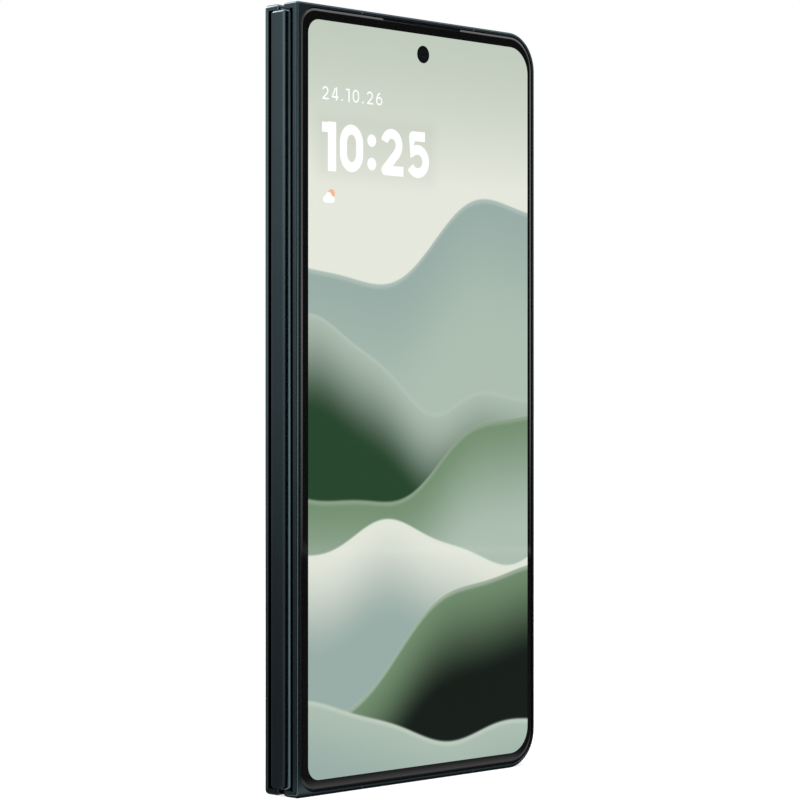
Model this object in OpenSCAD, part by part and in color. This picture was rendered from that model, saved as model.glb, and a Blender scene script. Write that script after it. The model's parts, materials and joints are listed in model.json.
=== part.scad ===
// Foldable smartphone, folded shut and standing on its bottom edge.
// +Z runs up the phone, the spine is at -X, the free edge at +X.
// The half with the outer display faces -Y, the half with the cameras faces +Y.
// Parts of a half are drawn flat: x from its hinge edge, y up the phone and
// z away from the fold plane; rear_half() and cover_half() stand them up.

/* [Overall] */
// Height of the phone
phone_h = 160; // [150:1:172]
// Width of each half, from the hinge edge to the free edge
half_w = 72.2; // [68:0.2:80]
// Thickness of each half
half_t = 4.5; // [4.4:0.1:5.2]
// Distance from the fold plane to each half's inner face
fold_gap = 0.35; // [0.3:0.05:0.45]
// Corner radius at the free edge
free_corner_r = 8; // [5:0.5:12]
// Corner radius at the hinge edge of the half with the cameras
hinge_corner_r = 0.9; // [0.8:0.1:3]
// Corner radius at the hinge edge of the half with the outer display
cover_corner_r = 0.6; // [0.6:0.1:3]

/* [Frame] */
// Side wall of the frame
wall = 2; // [1.8:0.1:2.6]
// Edge radius towards the fold plane
inner_edge_r = 0.5; // [0.4:0.1:0.6]
// Edge radius round the outer display
cover_edge_r = 0.4; // [0.3:0.1:0.6]
// Edge radius round the back panel
rear_edge_r = 0.7; // [0.5:0.1:0.8]
// Thickness of the plate in the middle of each half
midplate_t = 0.5; // [0.4:0.1:0.7]
// Thickness of the outer glass and of the back panel
panel_t = 0.6; // [0.4:0.05:0.7]
// Rim of frame beside the outer glass at the hinge edge
glass_rim_hinge = 1.05; // [1:0.05:2]
// Rim of frame above and below the outer glass
glass_rim_end = 0.85; // [0.8:0.05:1.6]
// Rim of frame beside the outer glass at the free edge
glass_rim_free = 0.9; // [0.7:0.1:1.4]
// Rim of frame round the back panel
panel_rim = 1.8; // [1.8:0.1:2.4]

/* [Displays] */
// Border of the outer display at the hinge edge
cover_border_hinge = 3.1; // [2.6:0.1:4]
// Border of the outer display at the top and bottom
cover_border_end = 3.2; // [2.4:0.05:4]
// Border of the outer display at the free edge
cover_border_free = 2.4; // [2:0.1:4]
// Thickness of the outer display's panel
cover_panel_t = 0.3; // [0.2:0.05:0.35]
// Thickness of the inner display's panel
inner_panel_t = 0.35; // [0.25:0.05:0.4]
// Depth of the inner display's surface below the frame's inner face
inner_sink = 0.1; // [0.05:0.05:0.15]
// Thickness of the plate that backs the inner display
support_t = 0.35; // [0.25:0.05:0.4]
// Width of the raised bezel round the inner display
bezel_w = 2.4; // [2:0.1:3]
// Height of the raised bezel
bezel_t = 0.25; // [0.15:0.05:0.28]
// Distance from the hinge edge to where the inner display lies flat
flat_from = 8; // [7:0.5:10]
// Outer radius of the inner display's fold
fold_r = 1.25; // [1.1:0.05:1.4]

/* [Hinge] */
// Distance of each pivot axis from the fold plane
axis_off = 1.32; // [1.25:0.01:1.4]
// Radius of the spine cover's rounded sides
spine_r = 1.56; // [1.4:0.02:1.6]
// How far the spine cover stands proud of the hinge edge
spine_proud = 0.72; // [0.6:0.02:0.8]
// Wall of the spine cover
spine_wall = 0.45; // [0.3:0.05:0.5]
// Fillet at the spine cover's ends
spine_end_r = 0.7; // [0.5:0.1:1.2]
// Distance from the phone's ends to the spine's ends
spine_inset = 1.45; // [1.4:0.05:2.4]
// Running gap between the spine and the halves' end walls
end_gap = 0.15; // [0.1:0.05:0.2]
// Distance from the fold plane to the inside of the lip that covers the spine
lip_in = 3.6; // [3.5:0.05:3.7]
// Radius of the pivot pins
pin_r = 0.25; // [0.2:0.05:0.3]
// Running clearance of the pivot pins
pin_gap = 0.03; // [0.02:0.01:0.05]
// Depth of the pivot pins in the end walls
pin_depth = 0.45; // [0.4:0.05:0.6]
// Radius that relieves the halves' end corners beside the fold
end_relief_r = 1.6; // [1:0.1:2]
// Teeth on each synchronising gear
gear_teeth = 12; // [10:1:16]
// Pitch radius of each synchronising gear
gear_pitch_r = 0.55; // [0.5:0.01:0.57]
// Width of each synchronising gear
gear_w = 1.1; // [0.8:0.1:1.4]
// Thickness of the plates that carry the gears
bracket_t = 0.4; // [0.3:0.1:0.6]
// Length of the arms that carry the halves
arm_len = 9; // [8:0.5:12]
// Thickness of the arms
arm_t = 0.8; // [0.7:0.05:0.85]
// Radius of the arms' screws
screw_r = 0.4; // [0.3:0.05:0.5]

/* [Cameras] */
// Width of the camera island
island_w = 21; // [19:0.5:26]
// Length of the camera island
island_l = 48; // [46:1:54]
// Distance from the free edge to the island
island_side = 6; // [5:0.5:10]
// Distance from the top edge to the island
island_top = 6; // [5:0.5:10]
// How far the island stands proud
island_proud = 1.2; // [0.8:0.1:1.6]
// How far the lens rings stand proud of the island
ring_proud = 0.6; // [0.3:0.1:0.8]
// Outer radius of the lens rings
ring_r = 6; // [5:0.1:6.4]
// Distance between lens centres
lens_step = 14.6; // [13.6:0.1:15]
// Length of the earpiece's slit
earpiece_l = 23.6; // [16:0.2:28]
// Width of the earpiece's slit
earpiece_w = 0.55; // [0.4:0.05:0.6]
// Radius of the outer display's camera window
front_cam_r = 1.75; // [1.5:0.05:2.2]
// Distance from the top edge to the outer display's camera
front_cam_drop = 7.4; // [6.5:0.1:9]

/* [Ports and buttons] */
// Width of the charging port's opening
port_w = 8.94; // [8.34:0.1:9.2]
// Height of the charging port's opening
port_h = 2.5; // [2.4:0.05:2.6]
// Depth of the charging port
port_depth = 6.5; // [6:0.1:7.5]
// Wall of the charging port's shell
port_wall = 0.2; // [0.15:0.01:0.22]
// Length of the power button
power_l = 12; // [9:0.5:16]
// Length of the volume rocker
volume_l = 22; // [18:0.5:26]
// Width of the buttons
button_w = 1.9; // [1.6:0.1:2.1]
// How far the buttons stand proud
button_proud = 0.35; // [0.2:0.05:0.5]
// Travel of the buttons
button_travel = 0.25; // [0.15:0.05:0.3]
// Running gap round the buttons
button_gap = 0.08; // [0.05:0.01:0.12]
// Height of the power button's centre
power_z = 94; // [86:1:98]
// Height of the volume rocker's centre
volume_z = 117; // [112:1:120]
// Width of the card tray's blade
tray_w = 12; // [10:0.5:14]
// Length of the card tray's blade
tray_l = 15; // [12:0.5:17]
// Thickness of the card tray's blade
tray_t = 0.9; // [0.7:0.1:1.1]

/* [Inside] */
// Clearance round the parts inside
part_gap = 0.25; // [0.1:0.05:0.4]
// Height of the batteries
battery_h = 78; // [60:1:84]
// Width of the battery in the rear half
rear_battery_w = 43; // [36:1:46]
// Width of the battery in the cover half
cover_battery_w = 56; // [44:1:58]
// Radius of the charging coil
coil_r = 19; // [15:0.5:20]

/* [Hidden] */
$fn = 64;
eps = 0.05;
outer = fold_gap + half_t;             // outer face, from the fold plane
axis_x = axis_off;                     // so that the lips meet when open
spine_arc_x = spine_r - spine_proud;   // centre of the spine's rounded sides
spine_z0 = spine_inset;
spine_z1 = phone_h - spine_inset;
pocket_r = lip_in - axis_off;
inner_n0 = fold_gap + inner_sink;
inner_n1 = inner_n0 + inner_panel_t;
support_n1 = inner_n1 + support_t;
floor_n = support_n1 + 0.05;           // mid plate, fold side
deck_n = floor_n + midplate_t;         // mid plate, outer side
seat_n = outer - panel_t;              // seat of the glass and back panel
oled_n = seat_n - cover_panel_t;
fold_x = 2 * axis_off - inner_n1 + fold_r;  // centre of the display's fold
pocket_x = fold_x + fold_r + 0.45;     // where the mid plate starts
panel_z0 = spine_z0 + 2.9;             // lower edge of the inner display
cavity_x = axis_x + pocket_r + 3;      // hinge side of the space for parts
cavity_wall = wall + 0.3;
mid_n = (fold_gap + outer) / 2;        // middle of a half's side face
gear_z = spine_wall + bracket_t + 0.05;  // spine's end to a gear
gear_add = gear_pitch_r * 2 / gear_teeth;
idler_x = axis_x - sqrt(pow(2 * gear_pitch_r, 2) - pow(axis_off - gear_pitch_r, 2));
arm_n0 = axis_off - arm_t / 2;
arm_n1 = axis_off + arm_t / 2;
screw_x = arm_len - 1.6;
island_x1 = half_w - island_side;
island_x = island_x1 - island_w / 2;
island_y = phone_h - island_top - island_l / 2;
island_n = outer + island_proud;
bump = island_proud + ring_proud;
front_cam_x = half_w / 2 + 0.55;
earpiece_x = half_w / 2 + 0.3;
earpiece_y = phone_h - glass_rim_end - earpiece_w / 2;
duct_l = 7;                            // earpiece duct behind the slit
duct_h = 2.95;
duct_t = 0.6;
duct_x = front_cam_x + front_cam_r + 2 + duct_l / 2;
inner_cam_r = 1.9;
inner_cam_x = half_w - 14;
inner_cam_y = phone_h - 10.5;
cover_break = [18.5, half_w - 19.8];
rear_break = [8, half_w - 9.7];
break_w = 0.6;
break_d = glass_rim_end;               // depth of the antenna breaks
island_r = 6;
fit_gap = 0.04;                        // round the island in the back panel
flash_r = 1.3;
flash_x = island_x1 - 3.2;
flash_y = island_y + lens_step / 2;
module_w = 2 * ring_r - 1.6;           // side of a camera module
port_x = half_w / 2;
port_n = (floor_n + seat_n) / 2;
tray_x = 17;
tray_n = mid_n;
speaker_holes = 6;
speaker_hole_r = 0.6;
speaker_hole_step = 2.2;
speaker_x = half_w - 18.2;             // middle of the sound holes
mic_x = half_w / 2 - 8.5;
mic_r = 0.35;
end_part_gap = 1;                      // between neighbours near the ends
loudspeaker_w = 16;
loudspeaker_l = 16;
motor_w = 9;
motor_l = 12;
rear_battery_y = cavity_wall + loudspeaker_l + 5.7;
cover_battery_y = 20;
cover_battery_h = battery_h + 8;
board_t = 0.7;
board_x = cavity_x + part_gap;
rear_board_y = rear_battery_y + battery_h + end_part_gap;
board_strip_x = board_x + rear_battery_w + part_gap * 2;
shield_w = 26;
shield_y = rear_board_y + 5;
camera_room = module_w + 0.6;
flex_t = 0.12;
flex_w = 14;
earspeaker_w = 12;
earspeaker_l = 4.6;
earspeaker_x = front_cam_x + front_cam_r + 0.7 + part_gap;
earspeaker_y = phone_h - cavity_wall - 0.4 - earspeaker_l;
cover_board_y = cover_battery_y + cover_battery_h + end_part_gap;
switch_w = 1.4;
switch_l = 3;
switch_x = half_w - cavity_wall - 0.2 - switch_w;
magnet_w = 1.8;
magnet_l = 14;
magnet_t = 1;
magnet_x = half_w - cavity_wall - 0.2 - magnet_w;
magnet_y = [phone_h * 0.2 - magnet_l / 2, power_z - power_l / 2 - end_part_gap - magnet_l];
screw_grip = 1.4;                      // thread of a screw past what it holds
spine_screw_step = phone_h / 4;
shift_x = -(half_w + button_proud - spine_proud) / 2;
shift_y = -bump / 2;
frame_col = [0.10, 0.14, 0.15];
glass_col = [0.04, 0.04, 0.04];
steel_col = [0.62, 0.64, 0.66];
board_col = [0.05, 0.22, 0.12];

// ---- placing ----

module phone() translate([shift_x, shift_y, 0]) children();

module stand() mirror([0, 1, 0]) rotate([90, 0, 0]) children();

module rear_half() phone() stand() children();

module cover_half() phone() mirror([0, 1, 0]) stand() children();

// Puts its child at both ends of the phone, drawn at the lower end.
module both_ends() {
  children();
  translate([0, 0, phone_h]) mirror([0, 0, 1]) children();
}

// ---- shared shapes ----

// What a fillet takes off the corner at the origin of the lower left quadrant.
module corner_bit(r) {
  difference() {
    translate([-r, -r]) square(r + eps);
    translate([-r, -r]) circle(r);
  }
}

// Edge of a slab: the outer edge is at x = d, with a fillet at each face.
module edge_profile(d, n0, n1, r0, r1) {
  difference() {
    translate([0, n0]) square([d, n1 - n0]);
    if (r0 > 0) translate([d, n0]) mirror([0, 1]) corner_bit(r0);
    if (r1 > 0) translate([d, n1]) corner_bit(r1);
  }
}

// Slab from z = n0 to n1 with corner radii ra at x = 0 and rb at x = w,
// and filleted edges r0 and r1.
module slab(w, h, ra, rb, n0, n1, r0 = 0, r1 = 0) {
  translate([ra, rb, n0]) cube([w - ra - rb, h - 2 * rb, n1 - n0]);
  translate([ra, h - ra, 0]) rotate([90, 0, 0]) mirror([1, 0, 0])
    linear_extrude(h - 2 * ra) edge_profile(ra, n0, n1, r0, r1);
  translate([w - rb, h - rb, 0]) rotate([90, 0, 0])
    linear_extrude(h - 2 * rb) edge_profile(rb, n0, n1, r0, r1);
  for (end = [0, 1]) {
    translate([0, end * h, 0]) mirror([0, 1 - end, 0]) {
      translate([ra, -rb, 0]) rotate([90, 0, 90])
        linear_extrude(w - ra - rb) edge_profile(rb, n0, n1, r0, r1);
      translate([w - rb, -rb, 0])
        rotate_extrude(angle = 90) edge_profile(rb, n0, n1, r0, r1);
      translate([ra, -ra, 0]) mirror([1, 0, 0])
        rotate_extrude(angle = 90) edge_profile(ra, n0, n1, r0, r1);
    }
  }
}

// Plain rounded rectangle, one radius.
module pad_2d(w, h, r) {
  translate([r, 0]) square([w - 2 * r, h]);
  translate([0, r]) square([w, h - 2 * r]);
  for (x = [r, w - r], y = [r, h - r]) translate([x, y]) circle(r);
}

module pad(x, y, w, h, r, n0, n1) {
  translate([x, y, n0]) linear_extrude(n1 - n0) pad_2d(w, h, r);
}

// Bar with round ends, l long and w wide, centred at the origin.
module slot_2d(l, w) {
  square([l - w, w], center = true);
  for (s = [-1, 1]) translate([s * (l - w) / 2, 0]) circle(w / 2);
}

// A shape whose 2D outline is seen from the end edge: its x stays, its y is
// the distance from the fold plane, and it runs from y0 to y1 up the phone.
module along(y0, y1) {
  translate([0, y1, 0]) rotate([90, 0, 0]) linear_extrude(y1 - y0) children();
}

// ---- spine ----

module spine_side(r, z0, z1, end_r) {
  translate([spine_arc_x, axis_off, 0]) rotate([0, 0, 90])
    rotate_extrude(angle = 90) spine_edge(r, z0, z1, end_r);
}

module spine_edge(r, z0, z1, end_r) {
  difference() {
    translate([0, z0]) square([r, z1 - z0]);
    if (end_r > 0) {
      translate([r, z1]) corner_bit(end_r);
      translate([r, z0]) mirror([0, 1]) corner_bit(end_r);
    }
  }
}

// Solid in the shape of the spine cover, or of the space inside it.
module spine_body(r, z0, z1, end_r) {
  spine_side(r, z0, z1, end_r);
  mirror([0, 1, 0]) spine_side(r, z0, z1, end_r);
  translate([spine_arc_x, -axis_off, 0]) mirror([1, 0, 0]) rotate([90, 0, 0]) mirror([0, 0, 1])
    linear_extrude(2 * axis_off) spine_edge(r, z0, z1, end_r);
}

module hinge_cover() color(frame_col) phone() {
  difference() {
    spine_body(spine_r, spine_z0, spine_z1, spine_end_r);
    spine_body(spine_r - spine_wall, spine_z0 + spine_wall, spine_z1 - spine_wall, 0);
  }
}

module bracket_2d() {
  difference() {
    union() {
      inside_2d();
      translate([spine_arc_x - eps, -axis_off - 0.5])
        square([axis_x - spine_arc_x + eps + 0.45, 2 * axis_off + 1]);
    }
    for (s = [-1, 1]) translate([axis_x, s * axis_off]) circle(pin_r);
    for (s = [-1, 1]) translate([idler_x, s * gear_pitch_r]) circle(pin_r);
  }
}

// Section of the space inside the spine cover.
module inside_2d() {
  r = spine_r - spine_wall;
  translate([spine_arc_x - r, -axis_off]) square([r, 2 * axis_off]);
  intersection() {
    union() for (s = [-1, 1]) translate([spine_arc_x, s * axis_off]) circle(r);
    translate([spine_arc_x - r, -axis_off - r]) square([r, 2 * (axis_off + r)]);
  }
}

// The channel inside the spine cover that leaves room for the display's fold.
module base_2d() {
  difference() {
    inside_2d();
    translate([fold_x - fold_r, 0]) circle(fold_r + 0.15);
  }
}

module hinge_base() color(steel_col) phone() {
  base_z0 = spine_z0 + gear_z + gear_w + 0.05;
  both_ends() {
    translate([0, 0, spine_z0 + spine_wall]) linear_extrude(bracket_t) bracket_2d();
    translate([0, 0, base_z0]) linear_extrude(bracket_t) bracket_2d();
    for (s = [-1, 1])
      translate([spine_arc_x - 0.9, s * (axis_off + 0.3) - 0.2, spine_z0 + spine_wall])
        cube([0.5, 0.4, gear_w + 2 * bracket_t + 0.1]);
  }
  difference() {
    translate([0, 0, base_z0 + bracket_t])
      linear_extrude(phone_h - 2 * (base_z0 + bracket_t)) base_2d();
    for (z = spine_screw_z()) translate([-spine_proud + spine_wall - eps, 0, z])
      rotate([0, 90, 0]) cylinder(r = screw_r, h = 3);
  }
}

function spine_screw_z() = [for (k = [0 : 3]) phone_h / 2 + (k - 1.5) * spine_screw_step];

module spine_screws() color(steel_col) phone() {
  for (z = spine_screw_z())
    translate([-spine_proud + spine_wall, 0, z]) rotate([0, 90, 0])
      cylinder(r = screw_r, h = fold_x - 2 * fold_r - 0.15 + spine_proud - spine_wall);
}

module pivot_pins() color(steel_col) phone() both_ends() {
  for (s = [-1, 1])
    translate([axis_x, s * axis_off, spine_z0 - end_gap - pin_depth])
      cylinder(r = pin_r, h = pin_depth + end_gap + gear_z + gear_w + 0.05 + bracket_t);
}

module idler_pins() color(steel_col) phone() both_ends() {
  for (s = [-1, 1])
    translate([idler_x, s * gear_pitch_r, spine_z0 + spine_wall])
      cylinder(r = pin_r, h = 2 * bracket_t + gear_w + 0.1);
}

// ---- synchronising gears ----

// Outline of a gear with a tooth centred at angle phase.
function gear_points(phase) = [
  for (k = [0 : gear_teeth - 1], c = [[-0.29, -1.15], [-0.13, 0.85], [0.13, 0.85], [0.29, -1.15]])
    let (a = phase + (k + c[0]) * 360 / gear_teeth, r = gear_pitch_r + c[1] * gear_add)
      [r * cos(a), r * sin(a)]
];

// Phase of the gear that meshes, in direction dir, with one of phase p.
function meshed(p, dir) = dir + 180 + 180 / gear_teeth - (p - dir);

dir_arm = atan2(gear_pitch_r - axis_off, idler_x - axis_x);
phase_rear = dir_arm;
phase_idler_rear = meshed(phase_rear, dir_arm);
phase_idler_cover = meshed(phase_idler_rear, -90);
dir_cover = atan2(-(axis_off - gear_pitch_r), axis_x - idler_x);
phase_cover = meshed(phase_idler_cover, dir_cover);

module gear(x, y, phase) {
  translate([x, y, spine_z0 + gear_z]) difference() {
    linear_extrude(gear_w) polygon(gear_points(phase));
    translate([0, 0, -eps]) cylinder(r = pin_r + pin_gap, h = gear_w + 2 * eps);
  }
}

module idler(side, phase) gear(idler_x, side * gear_pitch_r, phase);

module to_top() translate([0, 0, phone_h]) mirror([0, 0, 1]) children();

module idler_bottom_rear() color(steel_col) phone() idler(1, phase_idler_rear);
module idler_bottom_cover() color(steel_col) phone() idler(-1, phase_idler_cover);
module idler_top_rear() color(steel_col) phone() to_top() idler(1, phase_idler_rear);
module idler_top_cover() color(steel_col) phone() to_top() idler(-1, phase_idler_cover);

// Arm from a pivot to its half, with its gear and the hole for its screw.
module arm(side, phase) {
  gear(axis_x, side * axis_off, phase);
  difference() {
    translate([axis_x + pin_r + pin_gap + 0.12, side * axis_off - arm_t / 2, spine_z0 + gear_z])
      cube([arm_len - axis_x - pin_r - pin_gap - 0.12, arm_t, gear_w]);
    translate([screw_x, side * axis_off, spine_z0 + gear_z + gear_w / 2])
      rotate([90, 0, 0]) cylinder(r = screw_r, h = 2 * arm_t, center = true);
  }
}

module arms(side, phase) phone() both_ends() arm(side, phase);

module rear_hinge_arms() color(steel_col) arms(1, phase_rear);
module cover_hinge_arms() color(steel_col) arms(-1, phase_cover);

module arm_screws(side) phone() both_ends() mirror([0, side < 0 ? 1 : 0, 0])
  translate([screw_x, arm_n0, spine_z0 + gear_z + gear_w / 2])
    rotate([-90, 0, 0]) cylinder(r = screw_r, h = arm_t + screw_grip);

module rear_arm_screws() color(steel_col) arm_screws(1);
module cover_arm_screws() color(steel_col) arm_screws(-1);

// ---- frames ----

// Room that the spine, the display's fold and the arms take from a half,
// seen along the pivot axis.
module pocket_2d() {
  translate([-eps - 1, -1]) square([axis_x + eps + 1, lip_in + 1]);
  translate([axis_x, axis_off]) circle(pocket_r);
  translate([0, -1]) square([pocket_x, floor_n + midplate_t + 1]);
}

// Rounds a half's end walls about the pivot axis, so that they clear as it turns.
module end_round_2d() {
  difference() {
    translate([-1, -1]) square([axis_x + 1, axis_off + 1]);
    translate([axis_x, axis_off]) circle(axis_off - 0.1);
  }
}

module frame_shell(corner_r, edge_r) {
  difference() {
    slab(half_w, phone_h, corner_r, free_corner_r, fold_gap, outer, inner_edge_r, edge_r);
    along(spine_z0 - end_gap, spine_z1 + end_gap) pocket_2d();
    along(-eps, phone_h + eps) end_round_2d();
    // recess of the inner display
    pad(pocket_x - 3, panel_z0 - 0.3, half_w - wall - pocket_x + 3, phone_h - 2 * panel_z0 + 0.6,
      2, fold_gap - eps, floor_n);
    // space for the parts inside
    pad(cavity_x, cavity_wall, half_w - cavity_wall - cavity_x, phone_h - 2 * cavity_wall,
      4, deck_n, seat_n);
    for (end = [0, 1]) translate([0, end * phone_h, 0]) mirror([0, end, 0]) {
      // bore of the pivot pin
      translate([axis_x, spine_z0 - end_gap - pin_depth - 0.05, axis_off]) rotate([-90, 0, 0])
        cylinder(r = pin_r + pin_gap, h = pin_depth + 0.5);
      // relief beside the fold
      translate([-eps, 0, fold_gap]) rotate([90, 0, 90]) linear_extrude(pocket_x + eps)
        rotate(180) corner_bit(end_relief_r);
      // seat of the arm
      translate([axis_x, spine_z0 + gear_z, arm_n0])
        cube([arm_len - axis_x, gear_w, arm_t]);
      translate([screw_x, spine_z0 + gear_z + gear_w / 2, arm_n0])
        cylinder(r = screw_r, h = arm_t + screw_grip);
    }
  }
}

// Slots across the end walls, filled by the antenna breaks.
module breaks(xs, reach) {
  for (x = xs) {
    translate([x - break_w / 2, phone_h - break_d, fold_gap])
      cube([break_w, break_d + reach, half_t]);
    translate([x - break_w / 2, -reach, fold_gap]) cube([break_w, break_d + reach, half_t]);
  }
}

module antenna_fill(xs, corner_r, edge_r) {
  intersection() {
    slab(half_w, phone_h, corner_r, free_corner_r, fold_gap, outer, inner_edge_r, edge_r);
    breaks(xs, 1);
  }
}

module cover_window() {
  translate([glass_rim_hinge, glass_rim_end, 0])
    slab(half_w - glass_rim_hinge - glass_rim_free, phone_h - 2 * glass_rim_end,
      4, free_corner_r - 1, seat_n, outer + eps);
}

module cover_active(n0, n1) {
  translate([cover_border_hinge, cover_border_end, 0])
    slab(half_w - cover_border_hinge - cover_border_free, phone_h - 2 * cover_border_end,
      3, free_corner_r - 2.4, n0, n1);
}

module cover_frame() color(frame_col) cover_half() {
  difference() {
    frame_shell(cover_corner_r, cover_edge_r);
    cover_window();
    cover_active(oled_n, outer);
    breaks(cover_break, eps);
    // duct and pocket of the earpiece
    translate([duct_x - duct_l / 2, earpiece_y - duct_h, seat_n - duct_t])
      cube([duct_l, duct_h + earpiece_w / 2, duct_t + eps]);
    // well of the outer display's camera
    translate([front_cam_x, phone_h - front_cam_drop, deck_n])
      cylinder(r = front_cam_r + 1, h = 4);
    // well of the inner display's camera
    translate([inner_cam_x, inner_cam_y, floor_n - eps])
      cylinder(r = inner_cam_r + 0.6, h = midplate_t + 2 * eps);
  }
}

module cover_glass() color(glass_col) cover_half() {
  difference() {
    translate([glass_rim_hinge, glass_rim_end, 0])
      slab(half_w - glass_rim_hinge - glass_rim_free, phone_h - 2 * glass_rim_end,
        4, free_corner_r - 1, seat_n, outer, 0, 0.35);
    translate([earpiece_x, earpiece_y, seat_n - eps])
      linear_extrude(panel_t + 2 * eps) slot_2d(earpiece_l, earpiece_w);
    translate([earpiece_x, phone_h - glass_rim_end, seat_n - eps])
      linear_extrude(panel_t + 2 * eps) square([earpiece_l - earpiece_w, earpiece_w], center = true);
  }
}

module cover_display() color([0.55, 0.68, 0.6]) cover_half() {
  difference() {
    cover_active(oled_n, seat_n);
    translate([front_cam_x, phone_h - front_cam_drop, oled_n - eps])
      cylinder(r = front_cam_r, h = cover_panel_t + 2 * eps);
  }
}

module front_camera() color([0.03, 0.03, 0.03]) cover_half() {
  translate([front_cam_x, phone_h - front_cam_drop, 0]) {
    translate([0, 0, deck_n]) cylinder(r = front_cam_r + 0.7, h = oled_n - deck_n - 0.1);
    translate([0, 0, deck_n]) cylinder(r = front_cam_r - 0.1, h = seat_n - deck_n);
  }
}

module earpiece_mesh() color([0.02, 0.02, 0.02]) cover_half() {
  translate([earpiece_x, earpiece_y, seat_n])
    linear_extrude(panel_t - 0.2) slot_2d(earpiece_l - 0.1, earpiece_w - 0.1);
}

module earpiece_speaker() color([0.2, 0.2, 0.2]) cover_half() {
  pad(earspeaker_x, earspeaker_y, earspeaker_w, earspeaker_l, 0.6, deck_n, oled_n - 0.2);
}

// ---- inner display and its bezel ----

module flat_panel(n0, n1) {
  pad(flat_from, panel_z0, half_w - wall - 0.2 - flat_from, phone_h - 2 * panel_z0, 1.5, n0, n1);
}

// The flat panel, with square corners where the fold joins it.
module flat_display() {
  flat_panel(inner_n0, inner_n1);
  translate([flat_from, panel_z0, inner_n0]) cube([4, phone_h - 2 * panel_z0, inner_panel_t]);
}

module support_plate() {
  pad(pocket_x + 0.2, panel_z0, half_w - wall - 0.4 - pocket_x, phone_h - 2 * panel_z0, 1.5,
    inner_n1, support_n1);
}

module inner_display_rear() color([0.02, 0.02, 0.02]) rear_half() flat_display();

module inner_display_cover() color([0.02, 0.02, 0.02]) cover_half() {
  difference() {
    flat_display();
    translate([inner_cam_x, inner_cam_y, 0]) cylinder(r = inner_cam_r, h = 3);
  }
}

module rear_support_plate() color(steel_col) rear_half() support_plate();

module cover_support_plate() color(steel_col) cover_half() {
  difference() {
    support_plate();
    translate([inner_cam_x, inner_cam_y, 0]) cylinder(r = inner_cam_r, h = 3);
  }
}

// The inner display's middle, folded like a drop of water.
module inner_display_fold() color([0.02, 0.02, 0.02]) phone() {
  translate([0, 0, panel_z0]) linear_extrude(phone_h - 2 * panel_z0) difference() {
    union() {
      translate([fold_x, 0]) circle(fold_r);
      translate([fold_x, -inner_n1]) square([flat_from - fold_x, 2 * inner_n1]);
    }
    translate([fold_x, 0]) circle(fold_r - inner_panel_t);
    translate([fold_x, -inner_n0]) square([flat_from - fold_x + 1, 2 * inner_n0]);
  }
}

// Ribbon that joins the boards of the two halves round the display's fold.
module hinge_flex() color([0.55, 0.3, 0.1]) phone() {
  r = fold_r + 0.05 + flex_t;
  for (z = [phone_h * 0.32, phone_h * 0.62])
    translate([0, 0, z]) linear_extrude(flex_w) difference() {
      union() {
        translate([fold_x, 0]) circle(r);
        translate([fold_x, -r]) square([pocket_x - fold_x, 2 * r]);
      }
      translate([fold_x, 0]) circle(r - flex_t);
      translate([fold_x, -r + flex_t]) square([pocket_x, 2 * (r - flex_t)]);
    }
}

module bezel_trim() {
  m = inner_edge_r + 0.05;
  n0 = fold_gap - bezel_t;
  difference() {
    translate([0, m, 0])
      slab(half_w - m, phone_h - 2 * m, 1, free_corner_r - m, n0, fold_gap, 0.1, 0);
    pad(-9, m + bezel_w, half_w - m - bezel_w + 9, phone_h - 2 * (m + bezel_w), 4, n0 - eps,
      fold_gap + eps);
    translate([-1, -1, n0 - eps]) cube([pocket_x, phone_h + 2, bezel_t + 2 * eps]);
  }
}

module rear_bezel_trim() color([0.03, 0.03, 0.03]) rear_half() bezel_trim();
module cover_bezel_trim() color([0.03, 0.03, 0.03]) cover_half() bezel_trim();

// ---- rear half, outside ----

module rear_window(n0, n1, edge = 0) {
  translate([panel_rim, panel_rim, 0])
    slab(half_w - 2 * panel_rim, phone_h - 2 * panel_rim, 2, free_corner_r - panel_rim,
      n0, n1, 0, edge);
}

module port_hole_2d(grow) {
  translate([port_x, port_n]) slot_2d(port_w + 2 * grow, port_h + 2 * grow);
}

// Pockets of a button: the cap's well and the plunger's hole.
module button_well(y, l) {
  translate([half_w - 1 - button_travel - 0.05, y - l / 2 - button_gap,
    mid_n - button_w / 2 - button_gap])
    cube([3, l + 2 * button_gap, button_w + 2 * button_gap]);
  translate([half_w - wall - 1, y, mid_n]) rotate([0, 90, 0]) cylinder(r = 0.55, h = wall + 1);
}

// Button cap with rounded ends, seen from the free edge, and its plunger.
module button(y, l) {
  translate([half_w - 1, y, mid_n]) rotate([0, 90, 0]) {
    linear_extrude(1 + button_proud) rotate(90) slot_2d(l, button_w);
    translate([0, 0, -1.1]) cylinder(r = 0.5, h = 1.2);
  }
}

module switch_body(y) {
  translate([switch_x, y - switch_l / 2, deck_n]) cube([switch_w, switch_l, mid_n + 1 - deck_n]);
}

module tray_2d(grow) {
  translate([tray_x, tray_n]) square([tray_w + 2 * grow, tray_t + 2 * grow], center = true);
}

module tray_face_2d(grow) {
  translate([tray_x, tray_n]) slot_2d(tray_w + 2.4 + 2 * grow, tray_t + 0.8 + 2 * grow);
}

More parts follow.
